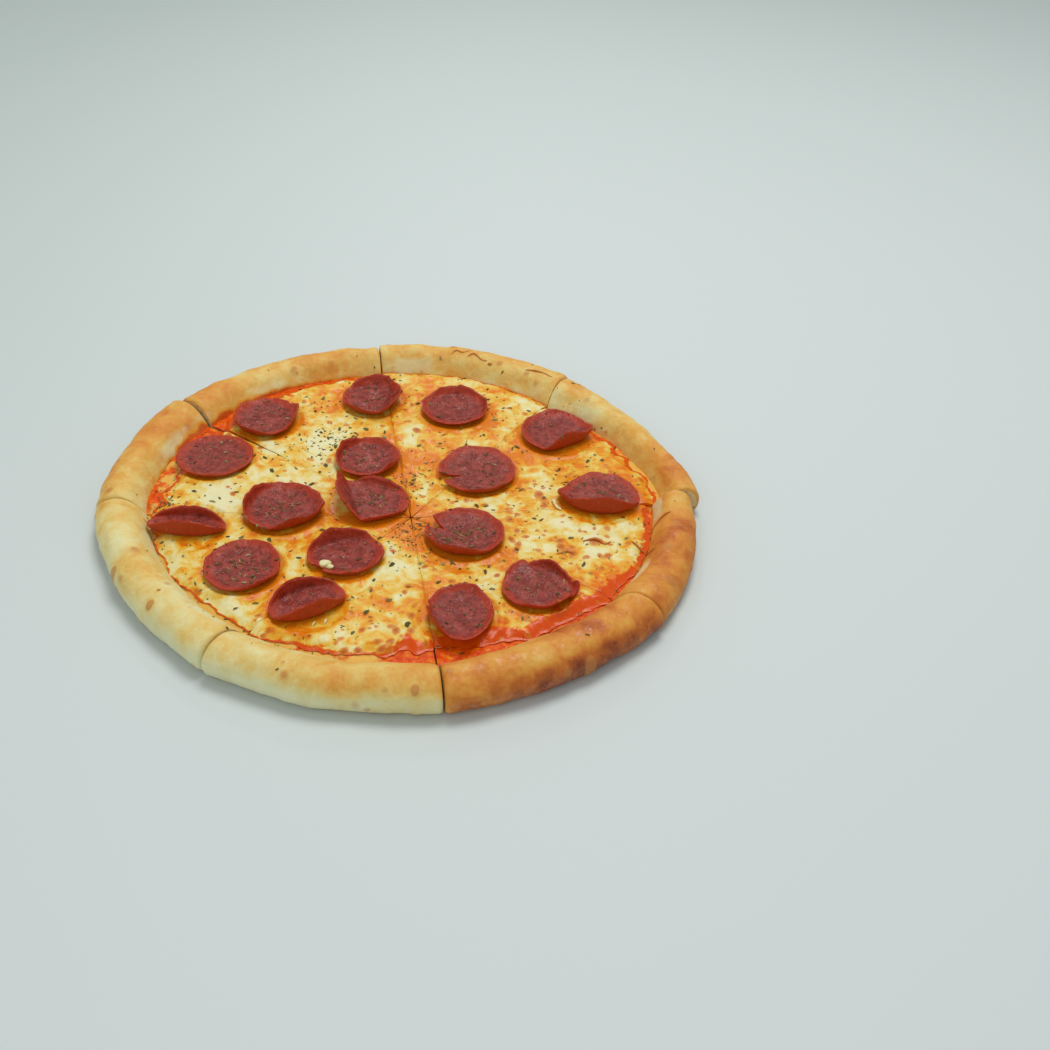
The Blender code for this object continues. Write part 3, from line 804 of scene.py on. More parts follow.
# %% Every slice of dough
CRUST_LUMPS = ((0.75, 16.0, 1.0), (0.40, 7.0, 2.0), (0.12, 2.6, 3.0))
BLISTER_HEIGHT = 0.45
FLAT_FOOT, FLAT_BOTTOM, FLAT_SIDE = 0.10, 0.08, 2.5


def make_crust(wedge, chance):
    """The dough of one slice with its relief, browning, blisters and stains."""
    places = wedge.fine_places(CRUST_SPACING)
    grid, reach, along, across = layer_grid(wedge, places, dough_ring)
    side = side_distance(wedge, reach, across)
    free = rising(along, 0.0, FLAT_FOOT) * falling(along, 1.0, FLAT_BOTTOM) * ease(side / FLAT_SIDE)
    blister = blisters_on(grid, chance)
    swelling = relief(grid, CRUST_LUMPS) + BLISTER_HEIGHT * blister
    grid = grid + outward(grid) * (free * swelling)[..., None]
    bake, wall = browning(wedge, grid, along, across)
    flour = rising(along, *FLOUR_FROM) * (1.15 - 1.3 * wall)
    values = dict(bake=bake, blister=blister * free, flour=np.clip(flour, 0, 1),
                  stain=stains(wedge, grid, side, along, across), pale=pale_stretches(grid, along),
                  gloss=np.clip(glossy(wedge, grid, along), 0, 1))
    name = f"baked_crust_{wedge.index + 1}"
    return lofted(name, grid, values, (dough_finish, crumb_finish), 1)


chance = random.Random(21)
crusts = []
for wedge in wedges:
    crust = make_crust(wedge, chance)
    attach(crust, "root")
    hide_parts(f"crust_{wedge.index + 1}")
    crusts.append(crust)
print("crust points:", sum(len(crust.data.vertices) for crust in crusts))

# %% [markdown]
# ## Sauce
#
# Tomato sauce is wet, lumpy and orange-red, darker where it baked dry. It shows only in a band
# inside the rim, where the cheese ends, so its points are close together there. It creeps a little
# up the wall of the rim, as thin sauce does.

# %% The sauce's finish
SAUCE_COLOURS = (
    (0.30, (0.56, 0.038, 0.002)),
    (0.46, (0.72, 0.072, 0.002)),
    (0.58, (0.78, 0.13, 0.003)),
    (0.70, (0.80, 0.30, 0.008)),
)
DRY_SAUCE = (0.42, 0.032, 0.003)
CREAMED_SAUCE = (0.76, 0.47, 0.09)


def make_sauce_finish():
    sauce = Surface("sauce", Roughness=0.3, Subsurface_Weight=0.1, Subsurface_Scale=0.003,
                    Coat_Roughness=0.12, Specular_IOR_Level=0.12)
    pulp = sauce.grain(3.2, 4.0, 0.6)
    dry = sauce.grain(7.0, 3.0, 0.6, 1.1).between(0.46, 0.66)
    colour = sauce.mix(dry * 0.4, sauce.ramp(pulp, SAUCE_COLOURS), DRY_SAUCE)
    patchy = (sauce.grain(9.0, 3.0, 0.6, 8.0) - 0.5) * 2.2
    creamy = (sauce.value("creamy") + patchy).between(0.35, 0.65)
    colour = sauce.mix(creamy * 0.85, colour, CREAMED_SAUCE)
    sauce.feed("Base Color", colour)
    sauce.feed("Roughness", 0.26 + dry * 0.25 + pulp * 0.10)
    sauce.feed("Coat Weight", (1 - dry) * 0.05)
    sauce.feed("Normal", sauce.bump(pulp + sauce.grain(1.0, 3.0) * 0.4, 0.5, 0.8))
    return sauce.material


sauce_finish = make_sauce_finish()
print("sauce finish:", sauce_finish.name)

# %% Where a band of sauce stays open inside the rim
# Each band has a direction and a spread in degrees, and a width in millimetres.
SAUCY_EDGES = (
    (158, 13, 5.0), (134, 13, 6.0), (112, 8, 3.0), (76, 8, 2.0), (30, 14, 3.0), (352, 14, 2.5),
    (320, 15, 7.0), (296, 12, 7.0), (278, 5, 6.0), (258, 5, 2.0), (184, 5, 4.0),
)


def saucy_width(grid):
    """How wide a band of sauce shows along the edge, by direction from the middle."""
    turn = np.degrees(np.arctan2(grid[..., 1], grid[..., 0]))
    return sum(width * bell(turned_from(turn, degrees) / spread)
               for degrees, spread, width in SAUCY_EDGES)


print("bands of open sauce:", len(SAUCY_EDGES))

# %% The sauce of every slice
SAUCE_ROWS = 46
SAUCE_SPACING = 1.1
SAUCE_CREEP = 1.0
SAUCE_FROM = 0.62
SAUCE_TAPER = 3.5
SAUCE_LUMPS = ((0.35, 4.5, 12.0), (0.18, 1.9, 13.0))
FULL_BAND = 4


def sauce_ring(wedge, u):
    """The sauce's section: top outwards, a thin creeping edge, and back underneath."""
    edge = wedge.foot(u) + SAUCE_CREEP
    ring = [(0.0, SAUCE_TOP, 0.0)]
    for i in range(SAUCE_ROWS + 1):
        share = SAUCE_FROM + (1 - SAUCE_FROM) * i / SAUCE_ROWS
        reach = edge * share
        thin = ease((edge - reach) / SAUCE_TAPER)
        ring.append((reach, SAUCE_BOTTOM + 0.5 + 0.5 * float(thin) * SAUCE_THICKNESS, share))
    ring.append((edge - 0.3, SAUCE_BOTTOM, 1.0))
    ring.append((0.0, SAUCE_BOTTOM, 0.0))
    return ring


def make_sauce(wedge):
    grid, reach, along, across = layer_grid(wedge, wedge.fine_places(SAUCE_SPACING), sauce_ring)
    top = (grid[..., 2] > SAUCE_BOTTOM + 0.1) & (reach > 1.0)
    side = side_distance(wedge, reach, across)
    grid[..., 2] += np.where(top, relief(grid, SAUCE_LUMPS) * ease(side / 1.5), 0.0)
    values = dict(creamy=np.clip(1 - saucy_width(grid) / FULL_BAND, 0, 1))
    return lofted(f"tomato_sauce_{wedge.index + 1}", grid, values, (sauce_finish,))


sauces = []
for wedge in wedges:
    sauce = make_sauce(wedge)
    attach(sauce, "root")
    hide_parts(f"sauce_{wedge.index + 1}")
    sauces.append(sauce)
print("sauce points:", sum(len(sauce.data.vertices) for sauce in sauces))

# %% [markdown]
# ## Cheese
#
# Melted cheese is pale where it lies thick and clean, yellow where its oil stands, orange near the
# pepperoni and the cuts, and toasted brown on small bubbles. The bubbles are real bumps on the mesh
# and carry a value of their own, so that the colour sits exactly on them.

# %% The cheese's finish
CHEESE_COLOURS = (
    (0.12, (0.76, 0.70, 0.40)),
    (0.28, (0.75, 0.63, 0.26)),
    (0.40, (0.75, 0.54, 0.13)),
    (0.52, (0.75, 0.43, 0.040)),
    (0.66, (0.75, 0.29, 0.009)),
    (0.84, (0.71, 0.16, 0.003)),
    (1.00, (0.66, 0.075, 0.001)),
)
TOASTED_GOLD = (0.60, 0.18, 0.010)
TOASTED_BROWN = (0.44, 0.100, 0.006)
OIL_FLECKS = (0.66, 0.13, 0.006)
MOST_OIL = 0.80


def make_cheese_finish():
    cheese = Surface("cheese", Roughness=0.35, Subsurface_Weight=0.15, Subsurface_Scale=0.004,
                     Coat_Roughness=0.12, Specular_IOR_Level=0.22)
    streak = cheese.grain(8.0, 4.0, 0.6, swirl=1.2)
    fine = cheese.grain(2.4, 4.0, 0.62, 0.9, swirl=0.8)
    oil = cheese.value("oil") + (streak - 0.5) * 1.2 + (fine - 0.5) * 0.3
    bare = (cheese.value("thin") * 1.2 + (streak - 0.5) * 1.8).between(0.25, 0.75)
    oil = oil.smaller(MOST_OIL) + bare * 0.7
    colour = cheese.ramp(oil, CHEESE_COLOURS)
    toast = cheese.value("toast") * (0.3 + fine * 1.4)
    colour = cheese.mix(toast.between(0.16, 0.46) * 0.85, colour, TOASTED_GOLD)
    colour = cheese.mix(toast.between(0.56, 1.0) * 0.85, colour, TOASTED_BROWN)
    fleck = cheese.grain(1.7, 3.0, 0.6, 7.0).between(0.56, 0.68) * oil.between(0.36, 0.62)
    colour = cheese.mix(fleck * 0.6, colour, OIL_FLECKS)
    cheese.feed("Base Color", colour)
    cheese.feed("Roughness", 0.36 - oil.between(0.3, 0.9) * 0.16 - bare * 0.06 + fine * 0.10)
    cheese.feed("Coat Weight", oil.between(0.30, 0.8) * 0.04)
    cheese.feed("Normal", cheese.bump(fine * 0.5 + cheese.grain(0.7, 3.0, 0.6, 4.0) * 0.3, 0.35, 0.7))
    return cheese.material


cheese_finish = make_cheese_finish()
print("cheese finish:", cheese_finish.name)

# %% Where the cheese is oily and where it is pale
# Every area has its place, its size in millimetres and its strength.
OILY_AREAS = (
    (4, -20, 20, 0.34), (-8, 62, 22, 0.12), (32, 58, 26, 0.18), (62, 47, 22, 0.12),
    (20, 118, 26, 0.16), (-60, 100, 18, 0.14), (-40, -30, 16, 0.22), (60, -100, 24, 0.2),
    (20, -48, 22, 0.2), (118, -6, 14, 0.12), (100, 34, 18, 0.2), (56, -4, 16, 0.12),
    (104, -70, 14, 0.26), (-44, 36, 10, 0.18), (-6, 36, 12, 0.16), (12, -90, 14, 0.1),
    (-88, 84, 10, 0.2), (-50, -44, 10, 0.16), (84, -50, 18, 0.14), (74, 30, 10, 0.14),
)
PALE_AREAS = (
    (-86, -12, 24, 0.26), (-100, -58, 24, 0.22), (108, -34, 22, 0.06), (0, -60, 16, 0.14),
    (-60, 30, 20, 0.18), (-30, -108, 20, 0.14), (-118, 10, 16, 0.1), (-70, -92, 18, 0.16),
    (-36, 70, 18, 0.12), (75, 24, 10, 0.08),
)
print("oily areas:", len(OILY_AREAS), "pale areas:", len(PALE_AREAS))

# %% The rounds press the cheese flat under them
def round_distance(grid):
    """Distance to the nearest round's edge, below 0 under the round."""
    nearest = np.full(grid.shape[:-1], np.inf)
    for item in PEPPERONI:
        away = np.hypot(grid[..., 0] - item["at"][0], grid[..., 1] - item["at"][1])
        nearest = np.minimum(nearest, away - item["across"] / 2)
    return nearest


def bed(x, y):
    """1 on open cheese and 0 under a round of pepperoni, where the cheese lies flat."""
    openness = 1.0
    for item in PEPPERONI:
        away = (Vector((x, y)) - Vector(item["at"])).length - item["across"] / 2
        openness = min(openness, smooth((away + BED_MARGIN) / BED_SLOPE))
    return openness


def cheese_height(x, y):
    """The top of the melted cheese, as in the solids."""
    swell = noise.noise(Vector((x / CHEESE_WAVE, y / CHEESE_WAVE, 0.0)))
    ripple = 0.6 * noise.noise(Vector((x / CHEESE_RIPPLE, y / CHEESE_RIPPLE, 5.0)))
    return CHEESE_TOP + CHEESE_RELIEF * (swell + ripple) * bed(x, y)


print("the cheese is pressed down round", len(PEPPERONI), "rounds")

# %% Toasted bubbles, more of them in the front and on the right
BUBBLES = 640
BUBBLED_RADIUS = 132
BUBBLE_SIZES = (0.5, 2.1, 0.9)
BUBBLE_STRENGTHS = (0.3, 1.1)


def bubble_places(count, chance):
    """Bubbles spread over the pizza, thinned out where few are toasted."""
    bubbles = []
    while len(bubbles) < count:
        angle = chance.uniform(0, math.tau)
        away = BUBBLED_RADIUS * math.sqrt(chance.random())
        x, y = away * math.cos(angle), away * math.sin(angle)
        toasted = 0.25 + 0.55 * smooth((x + 40) / 120) + 0.45 * smooth((-60 - y) / 40)
        toasted += 0.35 * noise.noise(Vector((x / 22, y / 22, 30.0)))
        if chance.random() < toasted:
            size = chance.triangular(*BUBBLE_SIZES)
            bubbles.append((x, y, size, chance.uniform(*BUBBLE_STRENGTHS), chance.uniform(0, math.pi)))
    return bubbles


TOASTED = (
    (1.6, 62.6, 2.6), (70.5, 6.7, 3.0), (73.3, -2.8, 2.2), (82.1, -36.2, 2.6), (57.4, -32.4, 2.4),
    (60.1, -24.9, 1.8), (105.0, -41.7, 2.2), (-13.2, -115.6, 2.2), (-6.7, -114.5, 1.8),
    (-0.6, -117.9, 2.0), (3.7, -113.8, 2.4), (6.7, -109.7, 2.0), (8.6, -102.4, 2.2), (15.2, 47.5, 1.8),
    (-85.9, -4.5, 1.8), (21.6, 42.1, 1.6), (-6.6, -102.7, 1.8), (88.0, -41.3, 2.4), (99.4, -31.0, 3.2),
    (-13.5, -91.7, 1.8), (17.2, -56.4, 1.6), (51.8, -60.7, 1.6), (102.2, -77.6, 1.8),
)
TOASTED_SCALE = 0.75
TOASTED_STRENGTH = 1.2
chance = random.Random(5)
bubbles = bubble_places(BUBBLES, chance)
bubbles += [(x, y, size * TOASTED_SCALE, TOASTED_STRENGTH, chance.uniform(0, math.pi))
            for x, y, size in TOASTED]
print("toasted bubbles:", len(bubbles))

# %% The cheese's section
CHEESE_ROWS = 118
RAGGED_CHEESE = 2.2
EDGE_CREEP = (1.4, 1.6, 0.9, 0.9, 2.4, 1.5, 0.9, 1.4)
THIN_EDGE = 0.2
EDGE_SUNK = 0.2


def cheese_ring(wedge, u):
    """The cheese's section: its top outwards, its thin edge, and back underneath."""
    edge = wedge.cheese_edge(u)
    x, y = wedge.tip + wedge.direction(u) * edge
    coarse = noise.noise(Vector((x / 8, y / 8, 1.0)))
    fine = noise.noise(Vector((x / 3.4, y / 3.4, 2.0)))
    edge += EDGE_CREEP[wedge.index] + RAGGED_CHEESE * (coarse + 0.5 * fine)
    ring = []
    for i in range(CHEESE_ROWS + 1):
        share = i / CHEESE_ROWS
        reach = edge * share
        x, y = wedge.tip + wedge.direction(u) * reach
        thin = 1 - smooth((edge - reach) / CHEESE_TAPER)
        full = cheese_height(x, y) - CHEESE_BOTTOM
        ring.append((reach, CHEESE_BOTTOM + full * (1 - thin) + THIN_EDGE * thin, share))
    ring.append((edge - 0.2, CHEESE_BOTTOM - EDGE_SUNK, 1.0))
    ring.append((edge - 0.9, CHEESE_BOTTOM - EDGE_SUNK, 1.0))
    ring.append((0.0, CHEESE_BOTTOM, 0.0))
    return ring


print("points round the cheese:", len(cheese_ring(wedges[0], 0.5)))

# %% Bubbles on a layer of cheese
BUBBLE_STRETCH = 1.35
BUBBLE_HEIGHT = 0.45
TALLEST_BUBBLE = 0.8


def bubbles_on(grid):
    """How toasted every point is, and how far the bubbles lift it."""
    toast = np.zeros(grid.shape[:-1])
    dome = np.zeros(grid.shape[:-1])
    low, high = grid[..., :2].min((0, 1)) - 4, grid[..., :2].max((0, 1)) + 4
    for x, y, size, strength, turn in bubbles:
        if not (low[0] < x < high[0] and low[1] < y < high[1]):
            continue
        dx, dy = grid[..., 0] - x, grid[..., 1] - y
        long = (dx * math.cos(turn) + dy * math.sin(turn)) / (size * BUBBLE_STRETCH)
        short = (dy * math.cos(turn) - dx * math.sin(turn)) / size
        bump = np.exp(-(long ** 2 + short ** 2))
        toast = np.maximum(toast, strength * bump)
        dome = np.maximum(dome, min(strength, TALLEST_BUBBLE) * BUBBLE_HEIGHT * bump)
    return toast, dome


print("a bubble is up to", round(TALLEST_BUBBLE * BUBBLE_HEIGHT, 2), "mm high")

# %% Melted seams
# Near the middle the melted cheese closes the cut again, and towards the rim it only creeps in.
MELTED_SEAM = 0.24
SEAM_LEFT = 0.04
SEAM_OPENS, SEAM_OPENING = 75, 45
SEAM_SOFTNESS = 0.7


def close_seams(wedge, grid, reach, across, side, top):
    """Moves the points next to a cut towards it."""
    following = (wedge.index + 1) % len(CUT_GAPS_AT_RIM)
    openings = [wedge.opening(CUT_GAPS_AT_RIM[i]) for i in (wedge.index, following)]
    opening = np.where(across > 0.5, openings[1], openings[0])
    closed = CUT_GAP / 2 + opening * reach - SEAM_LEFT
    open_share = rising(reach, SEAM_OPENS, SEAM_OPENING)
    ragged = MELTED_SEAM + relief(grid, ((0.16, 3.5, 17.0),))
    creep = closed * (1 - open_share) + ragged * open_share
    creep = creep * falling(side, SEAM_SOFTNESS, SEAM_SOFTNESS) * np.minimum(reach / 12, 1)
    angle = wedge.start + (wedge.end - wedge.start) * across
    outwards = np.where(across > 0.5, 1.0, -1.0) * np.where(top, creep, 0.0)
    grid[..., 0] -= np.sin(angle) * outwards
    grid[..., 1] += np.cos(angle) * outwards


print("a closed seam is", 2 * SEAM_LEFT, "mm wide")

# %% Oil on the cheese
OIL = 0.43
OIL_LAYERS = ((0.34, 19.0, 18.0), (-0.30, 6.0, 14.0))


def oil_on(grid, side, to_edge, away):
    """How oily every point is: by area, round the pepperoni, at the cuts and at the edge."""
    oil = OIL + area_sum(grid, OILY_AREAS) - area_sum(grid, PALE_AREAS)
    oil = oil + 0.32 * np.exp(-np.maximum(away, 0) / 2.4) + 0.08 * np.exp(-side / 1.3)
    return oil + relief(grid, OIL_LAYERS) + 0.14 * np.exp(-to_edge / 2.5)


print("layers of oil:", len(OIL_LAYERS))

# %% The cheese of every slice
CHEESE_SPACING = 1.0
CHEESE_LUMPS = ((0.30, 6.0, 14.0), (0.20, 3.0, 15.0), (0.08, 1.5, 16.0))
LIP_HEIGHT, LIP_PLACE, LIP_WIDTH = 0.75, 1.4, 1.7
PRESSED_MARGIN, PRESSED_WIDTH = -0.5, 4.0
CUT_ROUNDING = 0.6
LEAST_BAND = 0.8


def make_cheese(wedge):
    places = wedge.fine_places(CHEESE_SPACING)
    grid, reach, along, across = layer_grid(wedge, places, cheese_ring)
    side = side_distance(wedge, reach, across)
    edge = grid[:, CHEESE_ROWS:CHEESE_ROWS + 1, :]
    to_edge = np.linalg.norm(grid - edge, axis=-1)
    top = grid[..., 2] > CHEESE_BOTTOM + 0.4
    lifted = top & (reach > 0)
    away = round_distance(grid)
    open_cheese = rising(away, PRESSED_MARGIN, PRESSED_WIDTH)
    toast, dome = bubbles_on(grid)
    melt = relief(grid, CHEESE_LUMPS) * ease(to_edge / 3.0)
    lip = LIP_HEIGHT * bell((away - LIP_PLACE) / LIP_WIDTH)
    rise = (melt + dome) * open_cheese + lip
    grid[..., 2] += np.where(lifted, rise * ease(side / 1.2), 0.0)
    grid[..., 2] -= np.where(lifted, 0.2 * falling(side, CUT_ROUNDING, CUT_ROUNDING), 0.0)
    close_seams(wedge, grid, reach, across, side, top)
    band = LEAST_BAND + saucy_width(grid)
    values = dict(oil=oil_on(grid, side, to_edge, away), toast=toast * open_cheese,
                  thin=bell(to_edge / band))
    return lofted(f"melted_cheese_{wedge.index + 1}", grid, values, (cheese_finish,))


cheeses = []
for wedge in wedges:
    layer = make_cheese(wedge)
    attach(layer, "root")
    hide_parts(f"cheese_{wedge.index + 1}")
    cheeses.append(layer)
print("cheese points:", sum(len(layer.data.vertices) for layer in cheeses))

# %% [markdown]
# ## Pepperoni
#
# A round of pepperoni is a thin disc of cured meat. In the oven its edge cups up and parts of it
# fold over. The disc starts as a square grid eased into a circle, so that it has no crowded
# middle, then it is folded along lines, as paper folds, and only then gets its thickness.

# %% The pepperoni's finish
MEAT_DARK = (0.190, 0.015, 0.008)
MEAT_LIGHT = (0.310, 0.044, 0.028)
MEAT_RIM = (0.40, 0.034, 0.008)
MEAT_UNDER = (0.42, 0.048, 0.010)
FAT = (0.52, 0.18, 0.10)
PEPPER = (0.12, 0.020, 0.016)


def make_meat():
    meat = Surface("pepperoni", Roughness=0.38, Subsurface_Weight=0.12, Subsurface_Scale=0.003,
                   Coat_Roughness=0.18, Specular_IOR_Level=0.26)
    edge = meat.value("edge")
    under = meat.value("under")
    mottle = meat.grain(4.0, 4.0, 0.62)
    fibre = meat.grain(1.1, 3.0, 0.6, 1.9)
    colour = meat.mix(mottle.between(0.38, 0.64), MEAT_DARK, MEAT_LIGHT)
    rim = (edge + (mottle - 0.5) * 0.3).between(0.72, 0.92)
    colour = meat.mix(rim * 0.9, colour, MEAT_RIM)
    colour = meat.mix(under * 0.8, colour, MEAT_UNDER)
    fat = 1 - meat.cells(2.8).between(0.12, 0.26)
    fat = fat * meat.grain(4.0, 2.0, 0.5, 2.4).between(0.48, 0.60)
    colour = meat.mix(fat * 0.45, colour, FAT)
    dark = meat.grain(2.2, 3.0, 0.6, 3.3).between(0.60, 0.74)
    colour = meat.mix(dark * 0.5, colour, PEPPER)
    meat.feed("Base Color", colour)
    oily = meat.grain(6.0, 2.0, 0.5, 5.0).between(0.42, 0.62)
    meat.feed("Roughness", 0.40 - oily * 0.26 + fibre * 0.06)
    meat.feed("Coat Weight", oily * 0.06)
    meat.feed("Normal", meat.bump(mottle * 0.7 + fibre * 0.5, 0.9, 1.0))
    return meat.material


meat_finish = make_meat()
print("pepperoni finish:", meat_finish.name)

# %% Cupping and folding a round
def ridge_height(x, y, radius, ridge):
    """A slow rise to a line across the round and a step down past it."""
    degrees, distance, height = ridge
    beyond = Vector((x, y, 0.0)).dot(towards(degrees)) - distance * radius
    if beyond > 0:
        return height * (1 - smooth(beyond / RIDGE_STEP))
    return height * smooth(1 + beyond / radius)


def towards(degrees):
    """The direction of an angle in the plane."""
    return Vector((math.cos(math.radians(degrees)), math.sin(math.radians(degrees)), 0.0))


def share_of_spread(x, y, degrees, spread):
    """1 in a direction, falling to 0 at the ends of its spread."""
    aside = turned_from(math.degrees(math.atan2(y, x)), degrees)
    return max(1 - (aside / spread) ** 2, 0.0)


def bent(beyond, turn):
    """Where a strip past a crease goes: how far it draws in, and how far it rises."""
    curl = min(beyond / FOLD_RADIUS, turn)
    straight = max(beyond - FOLD_RADIUS * turn, 0.0)
    drawn_in = beyond - FOLD_RADIUS * math.sin(curl) - straight * math.cos(turn)
    return drawn_in, FOLD_RADIUS * (1 - math.cos(curl)) + straight * math.sin(turn)


def folded(x, y, radius, item):
    """Where a point of a flat round goes when the round cups, folds and curls its lips."""
    reach = math.hypot(x, y)
    place = Vector((x, y)) * (CUP_WAVES / radius)
    uneven = noise.noise(Vector((*place, item["across"] + item["cup"])))
    outwards = reach / radius
    profile = (1 - LIP_SHARE) * outwards ** CUP_POWER + LIP_SHARE * outwards ** LIP_POWER
    lift = item["cup"] * profile * (1 + CUP_UNEVENNESS * uneven)
    if "ridge" in item:
        lift += ridge_height(x, y, radius, item["ridge"])
    moved = Vector((x, y, lift))
    for degrees, distance, angle in item.get("folds", ()):
        beyond = moved.dot(towards(degrees)) - distance * radius
        if beyond > 0:
            drawn_in, rise = bent(beyond, math.radians(angle))
            moved += Vector((0, 0, rise)) - towards(degrees) * drawn_in
    for degrees, spread, width, angle in item["lips"]:
        share = share_of_spread(x, y, degrees, spread)
        beyond = reach - radius * (1 - width * share)
        if share > 0 and beyond > 0:
            drawn_in, rise = bent(beyond, math.radians(angle) * min(LIP_EASE * share, 1.0))
            moved += Vector((0, 0, rise)) - Vector((x, y, 0)) * (drawn_in / reach)
    if "oval" in item:
        degrees, factor = item["oval"]
        across = towards(degrees)
        moved -= across * moved.dot(across) * (1 - factor)
    return moved


def edge_reach(angle, radius, item):
    """Distance from a round's middle to its uneven edge."""
    x, y = math.cos(angle), math.sin(angle)
    wave = EDGE_WAVE * noise.noise(Vector((x * EDGE_WAVES, y * EDGE_WAVES, radius)))
    drawn = sum(length * share_of_spread(x, y, degrees, spread) ** 2
                for degrees, spread, length in item.get("points", ()))
    return radius * (1 + drawn) + wave


print("rounds with folds:", sum("folds" in item for item in PEPPERONI))

# %% The middle sheet of a round
ROUND_CELLS = 64
RAGGED_EDGE = 0.4
NOTCHES = {
    7: ((203, 9, 0.62),),
    12: ((160, 12, 0.44),),
    13: ((232, 12, 0.22),),
    17: ((168, 8, 0.16),),
}


def notch(angle, number):
    """How far a narrow notch draws the edge in, as a factor."""
    factor = 1.0
    for degrees, spread, depth in NOTCHES.get(number, ()):
        aside = abs(turned_from(math.degrees(angle), degrees))
        factor -= depth * max(1 - aside / spread, 0.0) ** 0.7
    return factor


def round_sheet(number, item):
    """The folded middle sheet of a round as a grid, and how near each point is to the edge."""
    radius = item["across"] / 2
    facing = math.radians(item["lips"][0][0])
    steps = np.linspace(-1, 1, ROUND_CELLS + 1)
    points, edges = [], []
    for a in steps:
        column, near = [], []
        for b in steps:
            flat = Vector((a * math.sqrt(1 - b * b / 2), b * math.sqrt(1 - a * a / 2)))
            angle = math.atan2(flat.y, flat.x) + facing
            ragged = RAGGED_EDGE * noise.noise(Vector((*(towards(math.degrees(angle)) * 5).xy, radius)))
            reach = flat.length * (edge_reach(angle, radius, item) * notch(angle, number) + ragged)
            x, y = math.cos(angle) * reach, math.sin(angle) * reach
            column.append(folded(x, y, radius, item))
            near.append(flat.length)
        points.append(column)
        edges.append(near)
    return np.array([[tuple(p) for p in column] for column in points]), np.array(edges)


print("points on a round's middle sheet:", round_sheet(1, PEPPERONI[0])[1].size)

# %% A round with its thickness
ROUNDED_EDGE = 0.035
WRINKLES = ((0.26, 5.5, 20.0), (0.12, 2.2, 40.0))
ROUND_SHARP = 80.0


def make_round(number, item):
    sheet, edges = round_sheet(number, item)
    normal = -outward(sheet)
    wrinkle = relief(sheet, [(height, wide, seed + number) for height, wide, seed in WRINKLES])
    into_edge = ((edges - (1 - ROUNDED_EDGE)) / ROUNDED_EDGE).clip(0)
    half = PEPPERONI_THICKNESS / 2 * np.sqrt(np.clip(1 - into_edge ** 2, 0, 1))
    top = sheet + normal * (half + wrinkle * (half > 0))[..., None]
    bottom = sheet - normal * half[..., None]
    size = sheet.shape[0]
    index = np.arange(size * size).reshape(size, size)
    rim = np.zeros((size, size), bool)
    rim[0], rim[-1], rim[:, 0], rim[:, -1] = True, True, True, True
    lower = np.where(rim, index, index + size * size)
    faces = []
    for i in range(size - 1):
        for j in range(size - 1):
            square = ((i, j), (i + 1, j), (i + 1, j + 1), (i, j + 1))
            faces.append(tuple(int(index[s]) for s in square))
            faces.append(tuple(int(lower[s]) for s in reversed(square)))
    corners = np.concatenate([top.reshape(-1, 3), bottom.reshape(-1, 3)])
    near = np.concatenate([edges.reshape(-1)] * 2)
    under = np.concatenate([np.zeros(size * size), np.ones(size * size)])
    corners[:, 0] += item["at"][0]
    corners[:, 1] += item["at"][1]
    node_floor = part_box(f"pepperoni_{number}")[0].z / MM
    corners[:, 2] += node_floor - corners[:, 2].min()
    return new_piece(f"pepperoni_round_{number}", corners, faces, dict(edge=near, under=under),
                     (meat_finish,), ROUND_SHARP)


rounds = []
for number, item in enumerate(PEPPERONI, start=1):
    piece = make_round(number, item)
    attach(piece, "root")
    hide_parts(f"pepperoni_{number}")
    rounds.append(piece)
print("pepperoni points:", sum(len(piece.data.vertices) for piece in rounds))

# %% [markdown]
# ## Herbs
#
# Dried oregano is scattered by hand, so it lies evenly with a few denser pinches. Each flake is a
# small bent leaf scrap of true size. It is dropped from above onto whatever lies below it, which a
# ray finds, and it takes the tilt of that surface. All flakes are one mesh.

# %% The herb's finish
HERB_COLOURS = (
    (0.0, (0.090, 0.068, 0.022)),
    (0.4, (0.150, 0.122, 0.042)),
    (0.75, (0.200, 0.170, 0.065)),
    (1.0, (0.360, 0.320, 0.150)),
)


def make_herb_finish():
    herb = Surface("herb", Roughness=0.8, Specular_IOR_Level=0.1)
    shade = herb.value("shade") + (herb.grain(0.5) - 0.5) * 0.4
    herb.feed("Base Color", herb.ramp(shade, HERB_COLOURS))
    herb.feed("Normal", herb.bump(herb.grain(0.4), 0.2, 0.8))
    return herb.material


herb_finish = make_herb_finish()
print("herb finish:", herb_finish.name)

# %% Finding what lies under a point
def tree_of(piece):
    """The piece's faces, ready for rays."""
    mesh = piece.data
    corners = np.zeros(len(mesh.vertices) * 3, np.float32)
    mesh.vertices.foreach_get("co", corners)
    faces = [tuple(polygon.vertices) for polygon in mesh.polygons]
    corners = corners.reshape(-1, 3)
    low, high = corners.min(0), corners.max(0)
    return BVHTree.FromPolygons(corners.tolist(), faces), low, high


grounds = [tree_of(piece) for piece in crusts + sauces + cheeses + rounds]


def ground_under(x, y):
    """The highest point and its normal under a spot, in millimetres of the pizza's circle."""
    spot = Vector(((x - MIDDLE[0]) * MM, (y - MIDDLE[1]) * MM, 0.05))
    best = None
    for tree, low, high in grounds:
        if low[0] < spot.x < high[0] and low[1] < spot.y < high[1]:
            hit, normal, _, _ = tree.ray_cast(spot, Vector((0, 0, -1)))
            if hit and (best is None or hit.z > best[0].z):
                best = (hit, normal)
    return best


print("surfaces that can carry herbs:", len(grounds))

# %% The large flakes, where the solids have theirs
FLAKES_PER_SLICE = 6
FLAKE_LENGTH = (3.0, 4.2)
FLAKE_ASPECT = 0.44
FLAKE_SPACING = 12.0
FLAKE_SEED = 11


